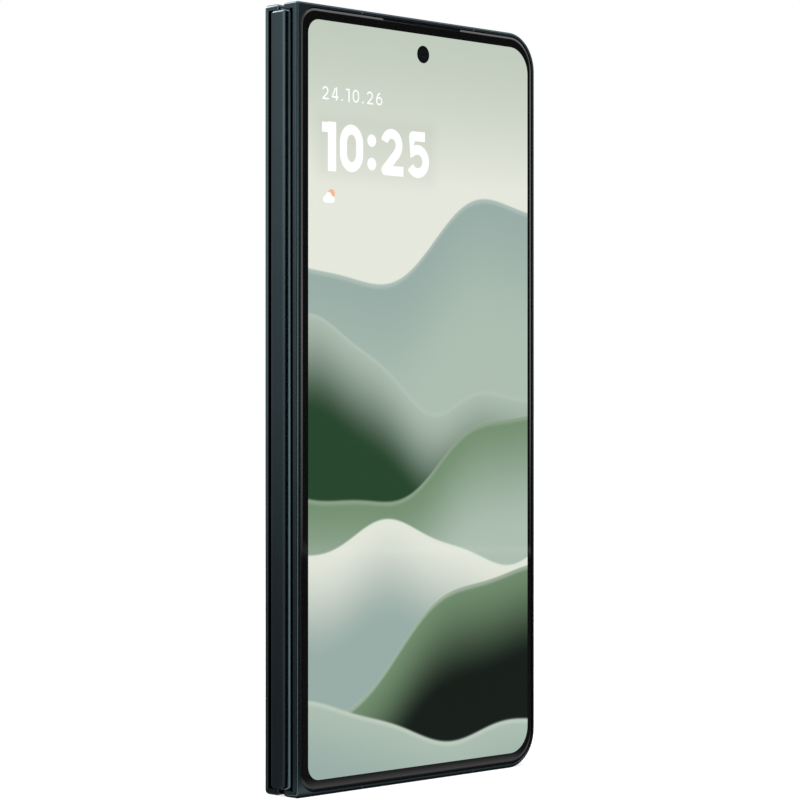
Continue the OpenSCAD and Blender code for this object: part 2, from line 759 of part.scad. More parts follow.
module rear_frame() color(frame_col) rear_half() {
  difference() {
    frame_shell(hinge_corner_r, rear_edge_r);
    rear_window(seat_n, outer + eps);
    breaks(rear_break, eps);
    along(-eps, port_depth) port_hole_2d(port_wall);
    along(-eps, 1) tray_face_2d(button_gap);
    along(-eps, tray_l + 1.5) tray_2d(button_gap);
    button_well(power_z, power_l);
    button_well(volume_z, volume_l);
    // sound holes and microphone
    for (k = [0 : speaker_holes - 1])
      translate([speaker_x + (k - (speaker_holes - 1) / 2) * speaker_hole_step, -eps, mid_n])
        rotate([-90, 0, 0]) cylinder(r = speaker_hole_r, h = cavity_wall + 1);
    translate([mic_x, -eps, mid_n]) rotate([-90, 0, 0]) cylinder(r = mic_r, h = cavity_wall + 1);
  }
}

module back_panel() color([0.09, 0.12, 0.13]) rear_half() {
  difference() {
    rear_window(seat_n, outer, 0.3);
    pad(island_x1 - island_w - fit_gap, island_y - island_l / 2 - fit_gap, island_w + 2 * fit_gap,
      island_l + 2 * fit_gap, island_r + fit_gap, seat_n - eps, outer + 1);
  }
}

module camera_island() color([0.08, 0.1, 0.11]) rear_half() {
  difference() {
    translate([island_x1 - island_w, island_y - island_l / 2, 0])
      slab(island_w, island_l, island_r, island_r, seat_n, island_n, 0, 0.5);
    for (k = [-1 : 1]) translate([island_x, island_y + k * lens_step, 0])
      cylinder(r = ring_r - 0.5, h = 20);
    translate([flash_x, flash_y, 0]) cylinder(r = flash_r, h = 20);
  }
}

module flash_lens() color([0.95, 0.9, 0.7]) rear_half() {
  translate([flash_x, flash_y, seat_n])
    cylinder(r = flash_r, h = island_n - seat_n);
}

module camera_rings() color(steel_col) rear_half() {
  for (k = [-1 : 1]) translate([island_x, island_y + k * lens_step, 0]) difference() {
    union() {
      translate([0, 0, island_n]) cylinder(r = ring_r, h = ring_proud);
      translate([0, 0, seat_n]) cylinder(r = ring_r - 0.5, h = island_n - seat_n);
    }
    translate([0, 0, seat_n - eps]) cylinder(r = ring_r - 1.2, h = 10);
  }
}

module camera_lenses() color([0.02, 0.02, 0.03]) rear_half() {
  for (k = [-1 : 1]) translate([island_x, island_y + k * lens_step, 0])
    translate([0, 0, island_n]) cylinder(r = ring_r - 1.2, h = ring_proud - 0.15);
}

module camera_modules() color([0.12, 0.12, 0.12]) rear_half() {
  for (k = [-1 : 1]) translate([island_x, island_y + k * lens_step, deck_n]) {
    translate([-module_w / 2, -module_w / 2, 0]) cube([module_w, module_w, seat_n - deck_n - 0.3]);
    cylinder(r = ring_r - 1.7, h = island_n - deck_n);
  }
}

module rear_antenna_breaks() color([0.2, 0.24, 0.25]) rear_half()
  antenna_fill(rear_break, hinge_corner_r, rear_edge_r);

module cover_antenna_breaks() color([0.2, 0.24, 0.25]) cover_half()
  antenna_fill(cover_break, cover_corner_r, cover_edge_r);

module power_button() color(frame_col) rear_half() button(power_z, power_l);
module volume_rocker() color(frame_col) rear_half() button(volume_z, volume_l);

module button_switches() color(steel_col) rear_half() {
  switch_body(power_z);
  switch_body(volume_z);
}

module card_tray() color(frame_col) rear_half() {
  along(0, 0.9) tray_face_2d(0);
  difference() {
    along(0.9, tray_l) tray_2d(0);
    translate([tray_x - tray_w / 2 + 1, 3, tray_n]) cube([tray_w - 2, tray_l - 4.5, 1]);
  }
}

module usb_port() color(steel_col) rear_half() {
  difference() {
    along(0.2, port_depth) port_hole_2d(port_wall);
    along(-1, port_depth - 0.4) port_hole_2d(0);
  }
  translate([port_x - 3.35, 1.2, port_n - 0.35]) cube([6.7, port_depth - 1.2, 0.7]);
}

// ---- rear half, inside ----

module rear_battery() color([0.75, 0.75, 0.76]) rear_half()
  pad(board_x, rear_battery_y, rear_battery_w, battery_h, 1, deck_n, seat_n - 0.35);

module charging_coil() color([0.75, 0.42, 0.2]) rear_half()
  translate([board_x + rear_battery_w / 2, rear_battery_y + battery_h / 2, seat_n - 0.35])
    difference() {
      cylinder(r = coil_r, h = 0.3);
      translate([0, 0, -eps]) cylinder(r = coil_r / 2, h = 1);
    }

module main_board() color(board_col) rear_half() {
  difference() {
    union() {
      translate([board_x, rear_board_y, deck_n])
        cube([half_w - cavity_wall - part_gap - board_x,
          phone_h - cavity_wall - 4 - rear_board_y, board_t]);
      translate([board_strip_x, rear_battery_y, deck_n])
        cube([magnet_x - part_gap - board_strip_x, battery_h + 2, board_t]);
    }
    for (k = [-1 : 1]) translate([island_x, island_y + k * lens_step, deck_n])
      cube([camera_room, camera_room, 3], center = true);
    translate([half_w - free_corner_r - 1.5, phone_h - free_corner_r - 1.5, 0]) cube([9, 9, 6]);
    for (y = [power_z, volume_z])
      translate([switch_x - part_gap, y - switch_l / 2 - part_gap, 0])
        cube([4, switch_l + 2 * part_gap, 4]);
  }
}

module board_shield() color(steel_col) rear_half()
  pad(cavity_x + 3, shield_y, shield_w, phone_h - 12 - shield_y, 1, deck_n + board_t, seat_n - 0.5);

module loudspeaker() color([0.1, 0.1, 0.1]) rear_half()
  pad(speaker_x - loudspeaker_w / 2 - 1, cavity_wall + part_gap, loudspeaker_w, loudspeaker_l, 1,
    deck_n, seat_n - 0.4);

module haptic_motor() color(steel_col) rear_half()
  pad(port_x - motor_w + 2, port_depth + end_part_gap, motor_w, motor_l, 1, deck_n, seat_n - 0.6);

module magnets() {
  for (y = magnet_y) translate([magnet_x, y, deck_n]) cube([magnet_w, magnet_l, magnet_t]);
}

module rear_magnets() color([0.5, 0.5, 0.52]) rear_half() magnets();
module cover_magnets() color([0.5, 0.5, 0.52]) cover_half() magnets();

// ---- cover half, inside ----

module cover_battery() color([0.75, 0.75, 0.76]) cover_half()
  pad(board_x, cover_battery_y, cover_battery_w, cover_battery_h, 1, deck_n, oled_n - 0.2);

module cover_board() color(board_col) cover_half() {
  difference() {
    translate([board_x, cover_board_y, deck_n])
      cube([magnet_x - part_gap - board_x, earspeaker_y - part_gap - cover_board_y, board_t]);
    translate([front_cam_x, phone_h - front_cam_drop, 0]) cylinder(r = front_cam_r + 1.2, h = 9);
    translate([inner_cam_x, inner_cam_y, 0]) cylinder(r = inner_cam_r + 1.5, h = 9);
  }
}

module inner_camera() color([0.03, 0.03, 0.03]) cover_half()
  translate([inner_cam_x, inner_cam_y, inner_n0 + 0.05])
    cylinder(r = inner_cam_r - 0.1, h = deck_n + 0.6 - inner_n0);

hinge_cover();
hinge_base();
pivot_pins();
idler_pins();
spine_screws();
inner_display_fold();
hinge_flex();
idler_bottom_rear();
idler_bottom_cover();
idler_top_rear();
idler_top_cover();
rear_frame();
back_panel();
rear_bezel_trim();
inner_display_rear();
rear_support_plate();
rear_hinge_arms();
rear_arm_screws();
rear_battery();
main_board();
board_shield();
charging_coil();
loudspeaker();
haptic_motor();
usb_port();
button_switches();
camera_island();
camera_rings();
camera_lenses();
camera_modules();
flash_lens();
rear_antenna_breaks();
rear_magnets();
power_button();
volume_rocker();
card_tray();
cover_frame();
cover_glass();
cover_display();
front_camera();
earpiece_mesh();
earpiece_speaker();
cover_bezel_trim();
inner_display_cover();
cover_support_plate();
cover_hinge_arms();
cover_arm_screws();
cover_battery();
cover_board();
inner_camera();
cover_antenna_breaks();
cover_magnets();
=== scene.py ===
"""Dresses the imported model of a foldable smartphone: its glass, screen, metal,
lenses and folding film, and the studio that it stands in. Lengths are metres."""

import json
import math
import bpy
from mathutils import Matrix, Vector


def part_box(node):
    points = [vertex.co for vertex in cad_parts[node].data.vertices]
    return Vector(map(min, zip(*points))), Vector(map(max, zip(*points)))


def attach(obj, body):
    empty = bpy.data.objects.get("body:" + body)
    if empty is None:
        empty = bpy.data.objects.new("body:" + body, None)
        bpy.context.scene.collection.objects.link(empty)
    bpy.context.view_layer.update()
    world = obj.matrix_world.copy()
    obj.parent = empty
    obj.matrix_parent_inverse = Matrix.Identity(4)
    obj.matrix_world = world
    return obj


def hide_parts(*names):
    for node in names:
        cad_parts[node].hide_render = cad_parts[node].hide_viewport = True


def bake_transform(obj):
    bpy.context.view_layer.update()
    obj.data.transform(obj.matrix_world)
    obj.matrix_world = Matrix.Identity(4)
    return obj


bl_info = {
    "name": "Foldable smartphone",
    "version": (1, 0, 0),
    "blender": (4, 5, 0),
    "location": "3D View > Sidebar > Foldable phone",
    "description": "Builds the visible pieces of a foldable smartphone on its CAD model",
    "category": "Object",
}

from functools import cached_property, partialmethod, reduce

import bmesh
import bpy
from bpy.props import FloatProperty, FloatVectorProperty, StringProperty
from mathutils import Vector

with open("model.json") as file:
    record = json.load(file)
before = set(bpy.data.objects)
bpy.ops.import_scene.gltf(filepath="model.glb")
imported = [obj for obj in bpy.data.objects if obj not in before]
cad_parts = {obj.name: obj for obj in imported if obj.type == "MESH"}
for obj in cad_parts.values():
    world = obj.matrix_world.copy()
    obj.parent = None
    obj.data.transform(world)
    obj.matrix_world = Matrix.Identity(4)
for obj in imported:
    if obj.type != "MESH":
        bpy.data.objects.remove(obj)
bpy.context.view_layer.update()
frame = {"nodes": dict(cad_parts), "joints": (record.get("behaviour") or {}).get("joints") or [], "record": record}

NODE_BODY = {n: b for b, ns in frame["record"]["behaviour"]["bodies"].items() for n in ns}

# Places that every piece is measured from.
FRAME_LO, FRAME_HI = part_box("cover_frame")
HINGE_X = FRAME_LO.x                                    # hinge edge of both halves
FOLD_Y = (FRAME_HI.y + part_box("rear_frame")[0].y) / 2   # plane between the halves
GLASS_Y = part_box("cover_glass")[0].y                    # face of the outer glass
PIVOT = {j["name"]: Vector(j["pos_m"]) for j in frame["joints"] if "pos_m" in j}

FRONT, BACK = -1, 1                 # ways along Y that a round plate can face
SIDES = {"rear": 1, "cover": -1}    # way along Y that each half lies from the fold
TOUCH = 1e-6                        # places this near count as one
CLEAR = 0.001                       # how far a cutter reaches out of what it cuts
MM = 1000                           # millimetres in a metre


# ---------------- modelling


def middle(node):
    """Middle of a CAD node's box."""
    lo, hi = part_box(node)
    return (lo + hi) / 2


def pick(*pieces):
    """Leaves only these pieces selected, the first of them active."""
    if bpy.context.object is not None and bpy.context.object.mode != "OBJECT":
        bpy.ops.object.mode_set(mode="OBJECT")
    bpy.ops.object.select_all(action="DESELECT")
    for piece in pieces:
        piece.select_set(True)
    bpy.context.view_layer.objects.active = pieces[0] if pieces else None


def settle(name):
    """Names the active piece, and moves its place, turn and size into its mesh."""
    piece = bpy.context.object
    piece.name = piece.data.name = name
    pick(piece)
    bpy.ops.object.transform_apply(location=True, rotation=True, scale=True)
    return piece


def block(name, lo, hi):
    """A box between two corners, ready to be shaped."""
    lo, hi = Vector(lo), Vector(hi)
    pick()
    bpy.ops.mesh.primitive_cube_add(size=1, location=(lo + hi) / 2)
    bpy.context.object.scale = hi - lo
    return settle(name)


def disc(name, centre, radius, depth, towards, sides=64):
    """A round plate whose front face is at centre and looks towards FRONT or BACK."""
    pick()
    turn = math.radians(-90 * towards)
    bpy.ops.mesh.primitive_cylinder_add(
        vertices=sides, radius=radius, depth=depth, rotation=(turn, 0, 0),
        location=(centre[0], centre[1] - towards * depth / 2, centre[2]))
    return settle(name)


class Shaping:
    """Edit mode on one piece, with faces and edges chosen by where they are."""

    def __init__(self, piece):
        self.piece = piece

    def __enter__(self):
        pick(self.piece)
        bpy.ops.object.mode_set(mode="EDIT")
        return self

    def __exit__(self, *problem):
        bpy.ops.object.mode_set(mode="OBJECT")

    def choose(self, kind, test):
        bpy.ops.mesh.select_mode(type=kind)
        bpy.ops.mesh.select_all(action="DESELECT")
        mesh = bmesh.from_edit_mesh(self.piece.data)
        for part in mesh.faces if kind == "FACE" else mesh.edges:
            part.select_set(test(part))
        bmesh.update_edit_mesh(self.piece.data)

    def all(self):
        bpy.ops.mesh.select_all(action="SELECT")

    def faces(self, test):
        """Chooses faces by their middles."""
        self.choose("FACE", lambda face: test(face.calc_center_median()))

    def face_at(self, y):
        """Chooses the flat face at this y."""
        self.faces(lambda centre: abs(centre.y - y) < TOUCH)

    def edges_along_y(self, test=lambda place: True):
        """Chooses edges that run along Y, by their places."""
        def fits(edge):
            a, b = (corner.co for corner in edge.verts)
            return abs(a.x - b.x) < TOUCH and abs(a.z - b.z) < TOUCH and test(a)
        self.choose("EDGE", fits)

    def rim(self, y):
        """Chooses the edges round the flat face at this y."""
        def fits(edge):
            level = all(abs(corner.co.y - y) < TOUCH for corner in edge.verts)
            return level and sum(abs(face.normal.y) > 0.99 for face in edge.link_faces) == 1
        self.choose("EDGE", fits)

    def sink(self, towards, *steps):
        """Insets the chosen face and sinks it from its front, once for each step, which
        is an inset and a drop."""
        for inset, drop in steps:
            bpy.ops.mesh.inset(thickness=inset)
            bpy.ops.mesh.extrude_region_move(
                TRANSFORM_OT_translate={"value": (0, -towards * drop, 0)})


def bevel(width, segments):
    bpy.ops.mesh.bevel(offset=width, segments=segments, affect="EDGES", clamp_overlap=True)


def soften(piece, angle=35):
    """Soft shading inside the given angle, with the flat faces kept flat."""
    pick(piece)
    bpy.ops.object.shade_smooth_by_angle(angle=math.radians(angle))
    even = piece.modifiers.new("Even", "WEIGHTED_NORMAL")
    even.keep_sharp = True
    bpy.ops.object.modifier_apply(modifier=even.name)
    return piece


def plate(name, lo, hi, hinge_r, free_r, edge_r=0.0, slope=1.0):
    """A plate parallel to the fold plane with rounded corners. The edge of its front,
    which is at lo.y, is rounded edge_r wide and edge_r * slope deep."""
    piece = block(name, lo, (hi.x, lo.y + (hi.y - lo.y) / slope, hi.z))
    with Shaping(piece) as shape:
        for x, radius in ((lo.x, hinge_r), (hi.x, free_r)):
            if radius:
                shape.edges_along_y(lambda place: abs(place.x - x) < TOUCH)
                bevel(radius, 16)
        if edge_r:
            shape.rim(lo.y)
            bevel(edge_r, 8)
        shape.all()
        bpy.ops.transform.resize(value=(1, slope, 1), center_override=(0, lo.y, 0))
    return piece


def window(name, centre, radius, depth, towards, sides, rounding, *steps):
    """A disc whose edge is rounded and whose face is sunk in steps."""
    piece = disc(name, centre, radius, depth, towards, sides)
    with Shaping(piece) as shape:
        if rounding:
            shape.rim(centre[1])
            bevel(rounding, 4)
        shape.face_at(centre[1])
        shape.sink(towards, *steps)
    return soften(piece)


def cut(piece, cutter):
    """Takes the cutter's space out of a piece."""
    pick(piece)
    hole = piece.modifiers.new("Hole", "BOOLEAN")
    hole.operation = "DIFFERENCE"
    hole.solver = "EXACT"
    hole.object = cutter
    bpy.ops.object.modifier_apply(modifier=hole.name)
    bpy.data.objects.remove(cutter)


def cut_camera_window(piece, radius):
    """Opens a piece of the cover half in front of the front camera."""
    at = middle("front_camera")
    cut(piece, disc("hole", (at.x, GLASS_Y - CLEAR, at.z), radius, 4 * CLEAR, FRONT))


def dress(piece, body, slot, material, *nodes):
    """Gives a finished piece its body and material, and hides the CAD nodes it stands for. slot is not used."""
    piece.data.materials.clear()
    piece.data.materials.append(material)
    if body is not None:
        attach(piece, body)
    if nodes:
        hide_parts(*nodes)
    return piece


def restyle(node, name, slot, material):
    """Puts a copy of a CAD node in its place, with its triangles joined and softly
    shaded."""
    piece = bpy.data.objects.new(name, frame["nodes"][node].data.copy())
    piece.data.name = name
    bpy.context.scene.collection.objects.link(piece)
    pick(piece)
    if piece.data.has_custom_normals:
        bpy.ops.mesh.customdata_custom_splitnormals_clear()
    with Shaping(piece) as shape:
        shape.all()
        bpy.ops.mesh.remove_doubles(threshold=2e-6)
    return dress(soften(piece, 30), NODE_BODY[node], slot, material, node)


def coat(material, nodes):
    """Puts a material on CAD nodes that stay as they are, from their names in a line."""
    for node in nodes.split():
        for slot in frame["nodes"][node].material_slots:
            slot.material = material


# ---------------- finishes


class Value:
    """A number socket that Python's operators work on."""

    def __init__(self, finish, socket):
        self.finish, self.socket = finish, socket

    def work_out(self, operation, *others):
        made = self.finish.node("Math", {"operation": operation}, self, *others)
        return Value(self.finish, made.outputs[0])

    __add__ = __radd__ = partialmethod(work_out, "ADD")
    __sub__ = partialmethod(work_out, "SUBTRACT")
    __mul__ = __rmul__ = partialmethod(work_out, "MULTIPLY")
    __pow__ = partialmethod(work_out, "POWER")
    sine = partialmethod(work_out, "SINE")
    size = partialmethod(work_out, "ABSOLUTE")
    least = partialmethod(work_out, "MINIMUM")
    most = partialmethod(work_out, "MAXIMUM")

    def __rsub__(self, other):
        return (self * -1) + other

    def ripple(self, rate):
        """Waves between 0 and 1; rate is in radians for each unit."""
        return (self * rate).sine() * 0.5 + 0.5

    def step(self, start, end):
        """0 at start and 1 at end, with a soft change between."""
        made = self.finish.node(
            "MapRange", {"interpolation_type": "SMOOTHSTEP"}, self, start, end, 0, 1)
        return Value(self.finish, made.outputs[0])


class Finish:
    """A material or a world that is put together from Python expressions."""

    def __init__(self, owner, output="OutputMaterial"):
        """owner is a world, or the name of a new material."""
        self.owner = bpy.data.materials.new(owner) if isinstance(owner, str) else owner
        self.owner.use_nodes = True
        self.tree = self.owner.node_tree
        self.tree.nodes.clear()
        self.output = self.node(output)

    def node(self, kind, settings=None, *values, **named):
        """Makes a shader node: its settings, then its sockets in order or by name."""
        made = self.tree.nodes.new("ShaderNode" + kind)
        for key, value in (settings or {}).items():
            setattr(made, key, value)
        for index, value in enumerate(values):
            self.feed(made.inputs[index], value)
        for key, value in named.items():
            self.feed(made.inputs[key.replace("_", " ")], value)
        return made

    def feed(self, socket, value):
        value = getattr(value, "socket", value)
        if isinstance(value, bpy.types.NodeSocket):
            self.tree.links.new(value, socket)
        elif socket.type == "RGBA" and len(value) == 3:
            socket.default_value = (*value, 1)
        else:
            socket.default_value = value

    def close(self, shader):
        """Ends with this shader, and gives the material or the world."""
        self.tree.links.new(shader.outputs[0], self.output.inputs[0])
        return self.owner

    @cached_property
    def where(self):
        """Object coordinates, which are metres from the model's origin."""
        return self.node("TexCoord").outputs["Object"]

    @cached_property
    def place(self):
        """Object coordinates as x, y and z in millimetres."""
        split = self.node("SeparateXYZ", None, self.where)
        return [Value(self, out) * MM for out in split.outputs]

    def reach(self, x, z):
        """Distance in millimetres from the line along Y through x and z, in metres."""
        across, _, up = self.place
        return diagonal(across - x * MM, up - z * MM)

    def noise(self, scale, detail, stretch=None):
        """Noise from 0 to 1; scale is in cells per metre."""
        where = self.where
        if stretch is not None:
            where = self.node("VectorMath", {"operation": "MULTIPLY"},
                              where, stretch).outputs[0]
        made = self.node("TexNoise", None, Vector=where, Scale=scale, Detail=detail)
        return Value(self, made.outputs[0])

    def handling(self):
        """Roughness of clean glass with a faint haze of handling."""
        return self.noise(60, 4).step(0.45, 0.75) * 0.03 + 0.03

    def mix(self, factor, first, second):
        """A colour between two, by a factor from 0 to 1."""
        made = self.node("Mix", {"data_type": "RGBA", "clamp_factor": True})
        for name, value in (("Factor", factor), ("A", first), ("B", second)):
            self.feed(next(s for s in made.inputs if s.name == name and s.enabled), value)
        return next(s for s in made.outputs if s.enabled)

    def ramp(self, factor, stops):
        """A colour that runs through stops, each a place from 0 to 1 and its colour."""
        made = self.node("ValToRGB", None, factor)
        elements = made.color_ramp.elements
        while len(elements) < len(stops):
            elements.new(1)
        for element, (place, colour) in zip(elements, stops):
            element.position, element.color = place, (*colour, 1)
        return made.outputs[0]

    def bump(self, height, distance, strength):
        return self.node("Bump", None, Strength=strength, Distance=distance,
                         Height=height).outputs[0]

    def principled(self, **sockets):
        """The surface shader. What varies is a link, and what doesn't is a number."""
        return self.close(self.node("BsdfPrincipled", None, **sockets))

    def patterned(self, pattern, colour, dark, roughness, spread, relief=None, tone=None,
                  **sockets):
        """A surface that follows one pattern from 0 to 1. Its colour runs from a dark
        share of it to the whole, along the tone where there is one, and its roughness
        over a spread; relief is the distance and the strength of its bump."""
        if relief:
            sockets["Normal"] = self.bump(pattern, *relief)
        return self.principled(
            Base_Color=self.mix(tone or pattern, toned(colour, dark), colour),
            Roughness=pattern * spread + roughness, **sockets)


def diagonal(a, b):
    return (a * a + b * b) ** 0.5


def toned(colour, amount, lift=0.0):
    """A colour made darker or lighter."""
    return [min(1, c * amount + lift) for c in colour]


WINDING = 2 * math.pi / 0.8     # rate of the ripples of a wire or track 0.8 mm wide


def anodised(name, colour, roughness):
    """Bead-blasted and dyed aluminium: a fine grain and a faint drift of the dye."""
    f = Finish(name)
    drift = f.noise(90, 2)
    speck = f.noise(9000, 2)
    return f.principled(
        Base_Color=f.mix(drift * 0.7 + speck * 0.3, toned(colour, 0.86), toned(colour, 1.12)),
        Metallic=1.0,
        Roughness=speck * 0.03 + (roughness - 0.015),
        Normal=f.bump(speck, 0.0000008, 0.35))


def polished(name, colour):
    """Turned or polished metal with fine tool marks."""
    f = Finish(name)
    return f.patterned(f.noise(5000, 1, (1, 1, 0.05)), colour, 0.9, 0.12, 0.08,
                       (0.000002, 0.25), Metallic=1.0)


def brushed(name, colour, roughness=0.3):
    """Rolled or brushed sheet, with streaks up the phone."""
    f = Finish(name)
    streak = f.noise(7000, 3, (1, 1, 0.02))
    return f.patterned(streak, colour, 0.75, roughness, 0.16, (0.000004, 0.35), Metallic=1.0)


def film(name, colour):
    """The folding display's film: dark, glossy and very slightly uneven."""
    f = Finish(name)
    wave = f.noise(35, 2, (1, 1, 0.3))
    return f.patterned(wave, colour, 0.85, 0.07, 0.05, (0.00006, 0.3), IOR=1.5)


def pouch(name, colour):
    """Crinkled foil of a battery pouch."""
    f = Finish(name)
    crinkle = f.noise(420, 5)
    return f.patterned(crinkle, colour, 0.82, 0.3, 0.2, (0.00015, 0.5), Metallic=0.9)


def ribbon(name, colour):
    """Ribbon cable with fine tracks along its length."""
    f = Finish(name)
    return f.patterned(f.place[2].ripple(WINDING), colour, 0.7, 0.28, 0.1)


def wound_coil(name, colour, centre):
    """Flat winding of fine wire round a centre."""
    f = Finish(name)
    turn = f.reach(centre.x, centre.z).ripple(WINDING)
    return f.patterned(turn, colour, 0.35, 0.28, 0.1, (0.0002, 0.6), Metallic=0.85)


def diffuser(name, colour, centre):
    """Flash window with rings pressed into it."""
    f = Finish(name)
    ring = f.reach(centre.x, centre.z).ripple(22)
    return f.patterned(ring, colour, 0.8, 0.2, 0.1, (0.0001, 0.5))


def gloss(name, colour):
    """Glass or lacquer over a deep colour."""
    f = Finish(name)
    return f.principled(Base_Color=f.mix(f.noise(600, 2), toned(colour, 0.9), colour),
                        Roughness=f.handling(), IOR=1.5)


def moulded(name, colour, roughness):
    """Moulded plastic or resin with a fine texture."""
    f = Finish(name)
    return f.patterned(f.noise(6000, 3), colour, 0.85, roughness, 0.12, (0.000006, 0.4),
                       f.noise(300, 2))


def frosted_glass(name, colour):
    """Etched glass: a satin face over a dark lacquer."""
    f = Finish(name)
    etch = f.noise(12000, 2)
    return f.principled(
        Base_Color=f.mix(f.noise(40, 2), toned(colour, 0.92), toned(colour, 1.08)),
        Roughness=etch * 0.08 + 0.34,
        Normal=f.bump(etch, 0.000003, 0.3),
        IOR=1.5)


def circuit(name, colour):
    """Solder mask with copper tracks showing through as lighter lines."""
    f = Finish(name)
    cell = f.node("TexVoronoi", {"feature": "DISTANCE_TO_EDGE"},
                  Vector=f.where, Scale=420.0)
    track = Value(f, cell.outputs[0]).step(0.03, 0.07)
    return f.principled(
        Base_Color=f.mix(track, toned(colour, 2.4, 0.01), colour),
        Roughness=track * 0.08 + 0.24,
        Normal=f.bump(track, 0.00002, 0.4))


def lens_glass(name, sheen_tint, *centres):
    """Coated lens: nearly black glass, with a painted sheen: the coating's coloured reflections are painted as
    tinted rings round each centre.
    """
    f = Finish(name)
    nearest = reduce(Value.least, [f.reach(x, z) for x, z in centres])
    # Painted sheen: rings of the tint stand in for reflections in the coating.
    ring = nearest.ripple(2.1)
    return f.principled(
        Base_Color=f.mix(ring * 0.7, (0.004, 0.004, 0.006), sheen_tint),
        Roughness=ring * 0.04 + 0.03,
        IOR=1.6)


def woven(name):
    """Black weave of a loudspeaker's mesh."""
    f = Finish(name)
    x, _, z = f.place
    weave = (x * 40).sine() * (z * 40).sine() * 0.5 + 0.5
    return f.principled(
        Base_Color=f.mix(weave, (0.0005, 0.0005, 0.0005), (0.006, 0.006, 0.006)),
        Roughness=weave * 0.2 + 0.6,
        Normal=f.bump(weave, 0.00003, 0.6),
        Specular_IOR_Level=0.1)


def lit_picture(name, look):
    """The lit screen: a pale sky over rolling slopes in greens, brighter at each crest.
    All places in it are millimetres across from the hinge edge and up from the bottom."""
    f = Finish(name)
    x, _, up = f.place
    across = x - HINGE_X * MM
    sky_low, sky_high, screen_middle = 95, 160, 36
    colour = f.ramp(up.step(sky_low, sky_high),
                    ((0.0, look.cream), (0.45, look.cream), (1.0, look.pale)))

    # A soft shade round the clock's figures lets them stand out from the sky.
    half_wide, half_tall = look.time_width / 2 * MM, look.time_height / 2 * MM
    beside = ((across - (look.left * MM + half_wide)).size() - half_wide).most(0)
    above = ((up - (look.time_low * MM + half_tall)).size() - half_tall).most(0)
    shaded = 1 - diagonal(beside, above).step(-1.5, 4.0)
    colour = f.mix(shaded * look.shade, colour, look.deep)

    for level, lean, swell, pace, phase, near, far, depth, rim in look.slopes():
        wave = (across * pace + phase).sine() * swell
        second = (across * (pace * 2.3) + phase * 1.7).sine() * (swell * 0.22)
        below = wave + second + (across - screen_middle) * lean + level - up
        slope = f.mix(below.step(-2, depth), near, far)
        colour = f.mix(below.step(-0.25, 0.25), colour, slope)
        crest = below.step(-0.5, 0.3) * below.step(1.3, 0.3)
        colour = f.mix(crest * rim, colour, look.rim)
    return f.principled(
        Base_Color=f.mix(0.96, colour, (0.0, 0.0, 0.0)),
        Emission_Color=colour,
        Emission_Strength=look.brightness,
        Roughness=f.handling(),
        IOR=1.5)


def glowing(name, colour):
    """Lit marks on the screen."""
    f = Finish(name)
    faint = f.noise(900, 1)
    return f.principled(
        Base_Color=f.mix(faint, toned(colour, 0.04), toned(colour, 0.05)),
        Emission_Color=f.mix(faint, toned(colour, 0.99), colour),
        Emission_Strength=1.0,
        Roughness=0.05,
        IOR=1.5)


# ---------------- what a user sets


def amount(name, text, default, low=0.0, high=100.0, **kind):
    return FloatProperty(name=name, description=text, default=default, min=low, max=high,
                         **kind)


def length(name, text, default):
    return amount(name, text, default, 0, 1, subtype="DISTANCE", unit="LENGTH", precision=5)


def share(name, text, default, low=0.0, high=1.0):
    return amount(name, text, default, low, high, subtype="FACTOR")


def paint(name, of_what, default):
    return FloatVectorProperty(name=name, description="Colour of the " + of_what,
                               default=default, size=3, min=0, max=1, subtype="COLOR")


class MetalSettings(bpy.types.PropertyGroup):
    body: paint("Frame colour", "frames and the spine", (0.053, 0.078, 0.088))
    roughness: share("Frame roughness", "How satin the frames are", 0.22)
    # The lip's lightness is a painted highlight for the reflection along the rear lip beside the spine.
    lip: amount("Painted lip highlight", "How much lighter the lip beside the spine is", 2.4, 1, 6)
    trim: paint("Camera trim", "lens rings", (0.16, 0.18, 0.19))
    steel: paint("Hinge steel", "hinge's metal", (0.6, 0.61, 0.63))
    alloy: paint("Support plates", "plates behind the film", (0.35, 0.36, 0.37))
    panel: paint("Back panel", "etched back panel", (0.05, 0.068, 0.072))


class GlassSettings(bpy.types.PropertyGroup):
    border: paint("Border", "outer glass's border", (0.0035, 0.0036, 0.0036))
    hinge_corner: length("Hinge corner", "Radius beside the spine", 0.004)
    free_corner: length("Free corner", "Radius at the free edge", 0.007)
    edge: length("Edge", "Width of the rounding along the glass's edge", 0.0009)
    edge_slope: share("Edge slope", "Depth of the rounding for its width", 0.33, 0.05)
    slit_length: length("Earpiece length", "Length of the earpiece's slit", 0.0236)
    window: length("Camera window", "Radius of the front camera's window", 0.00184)


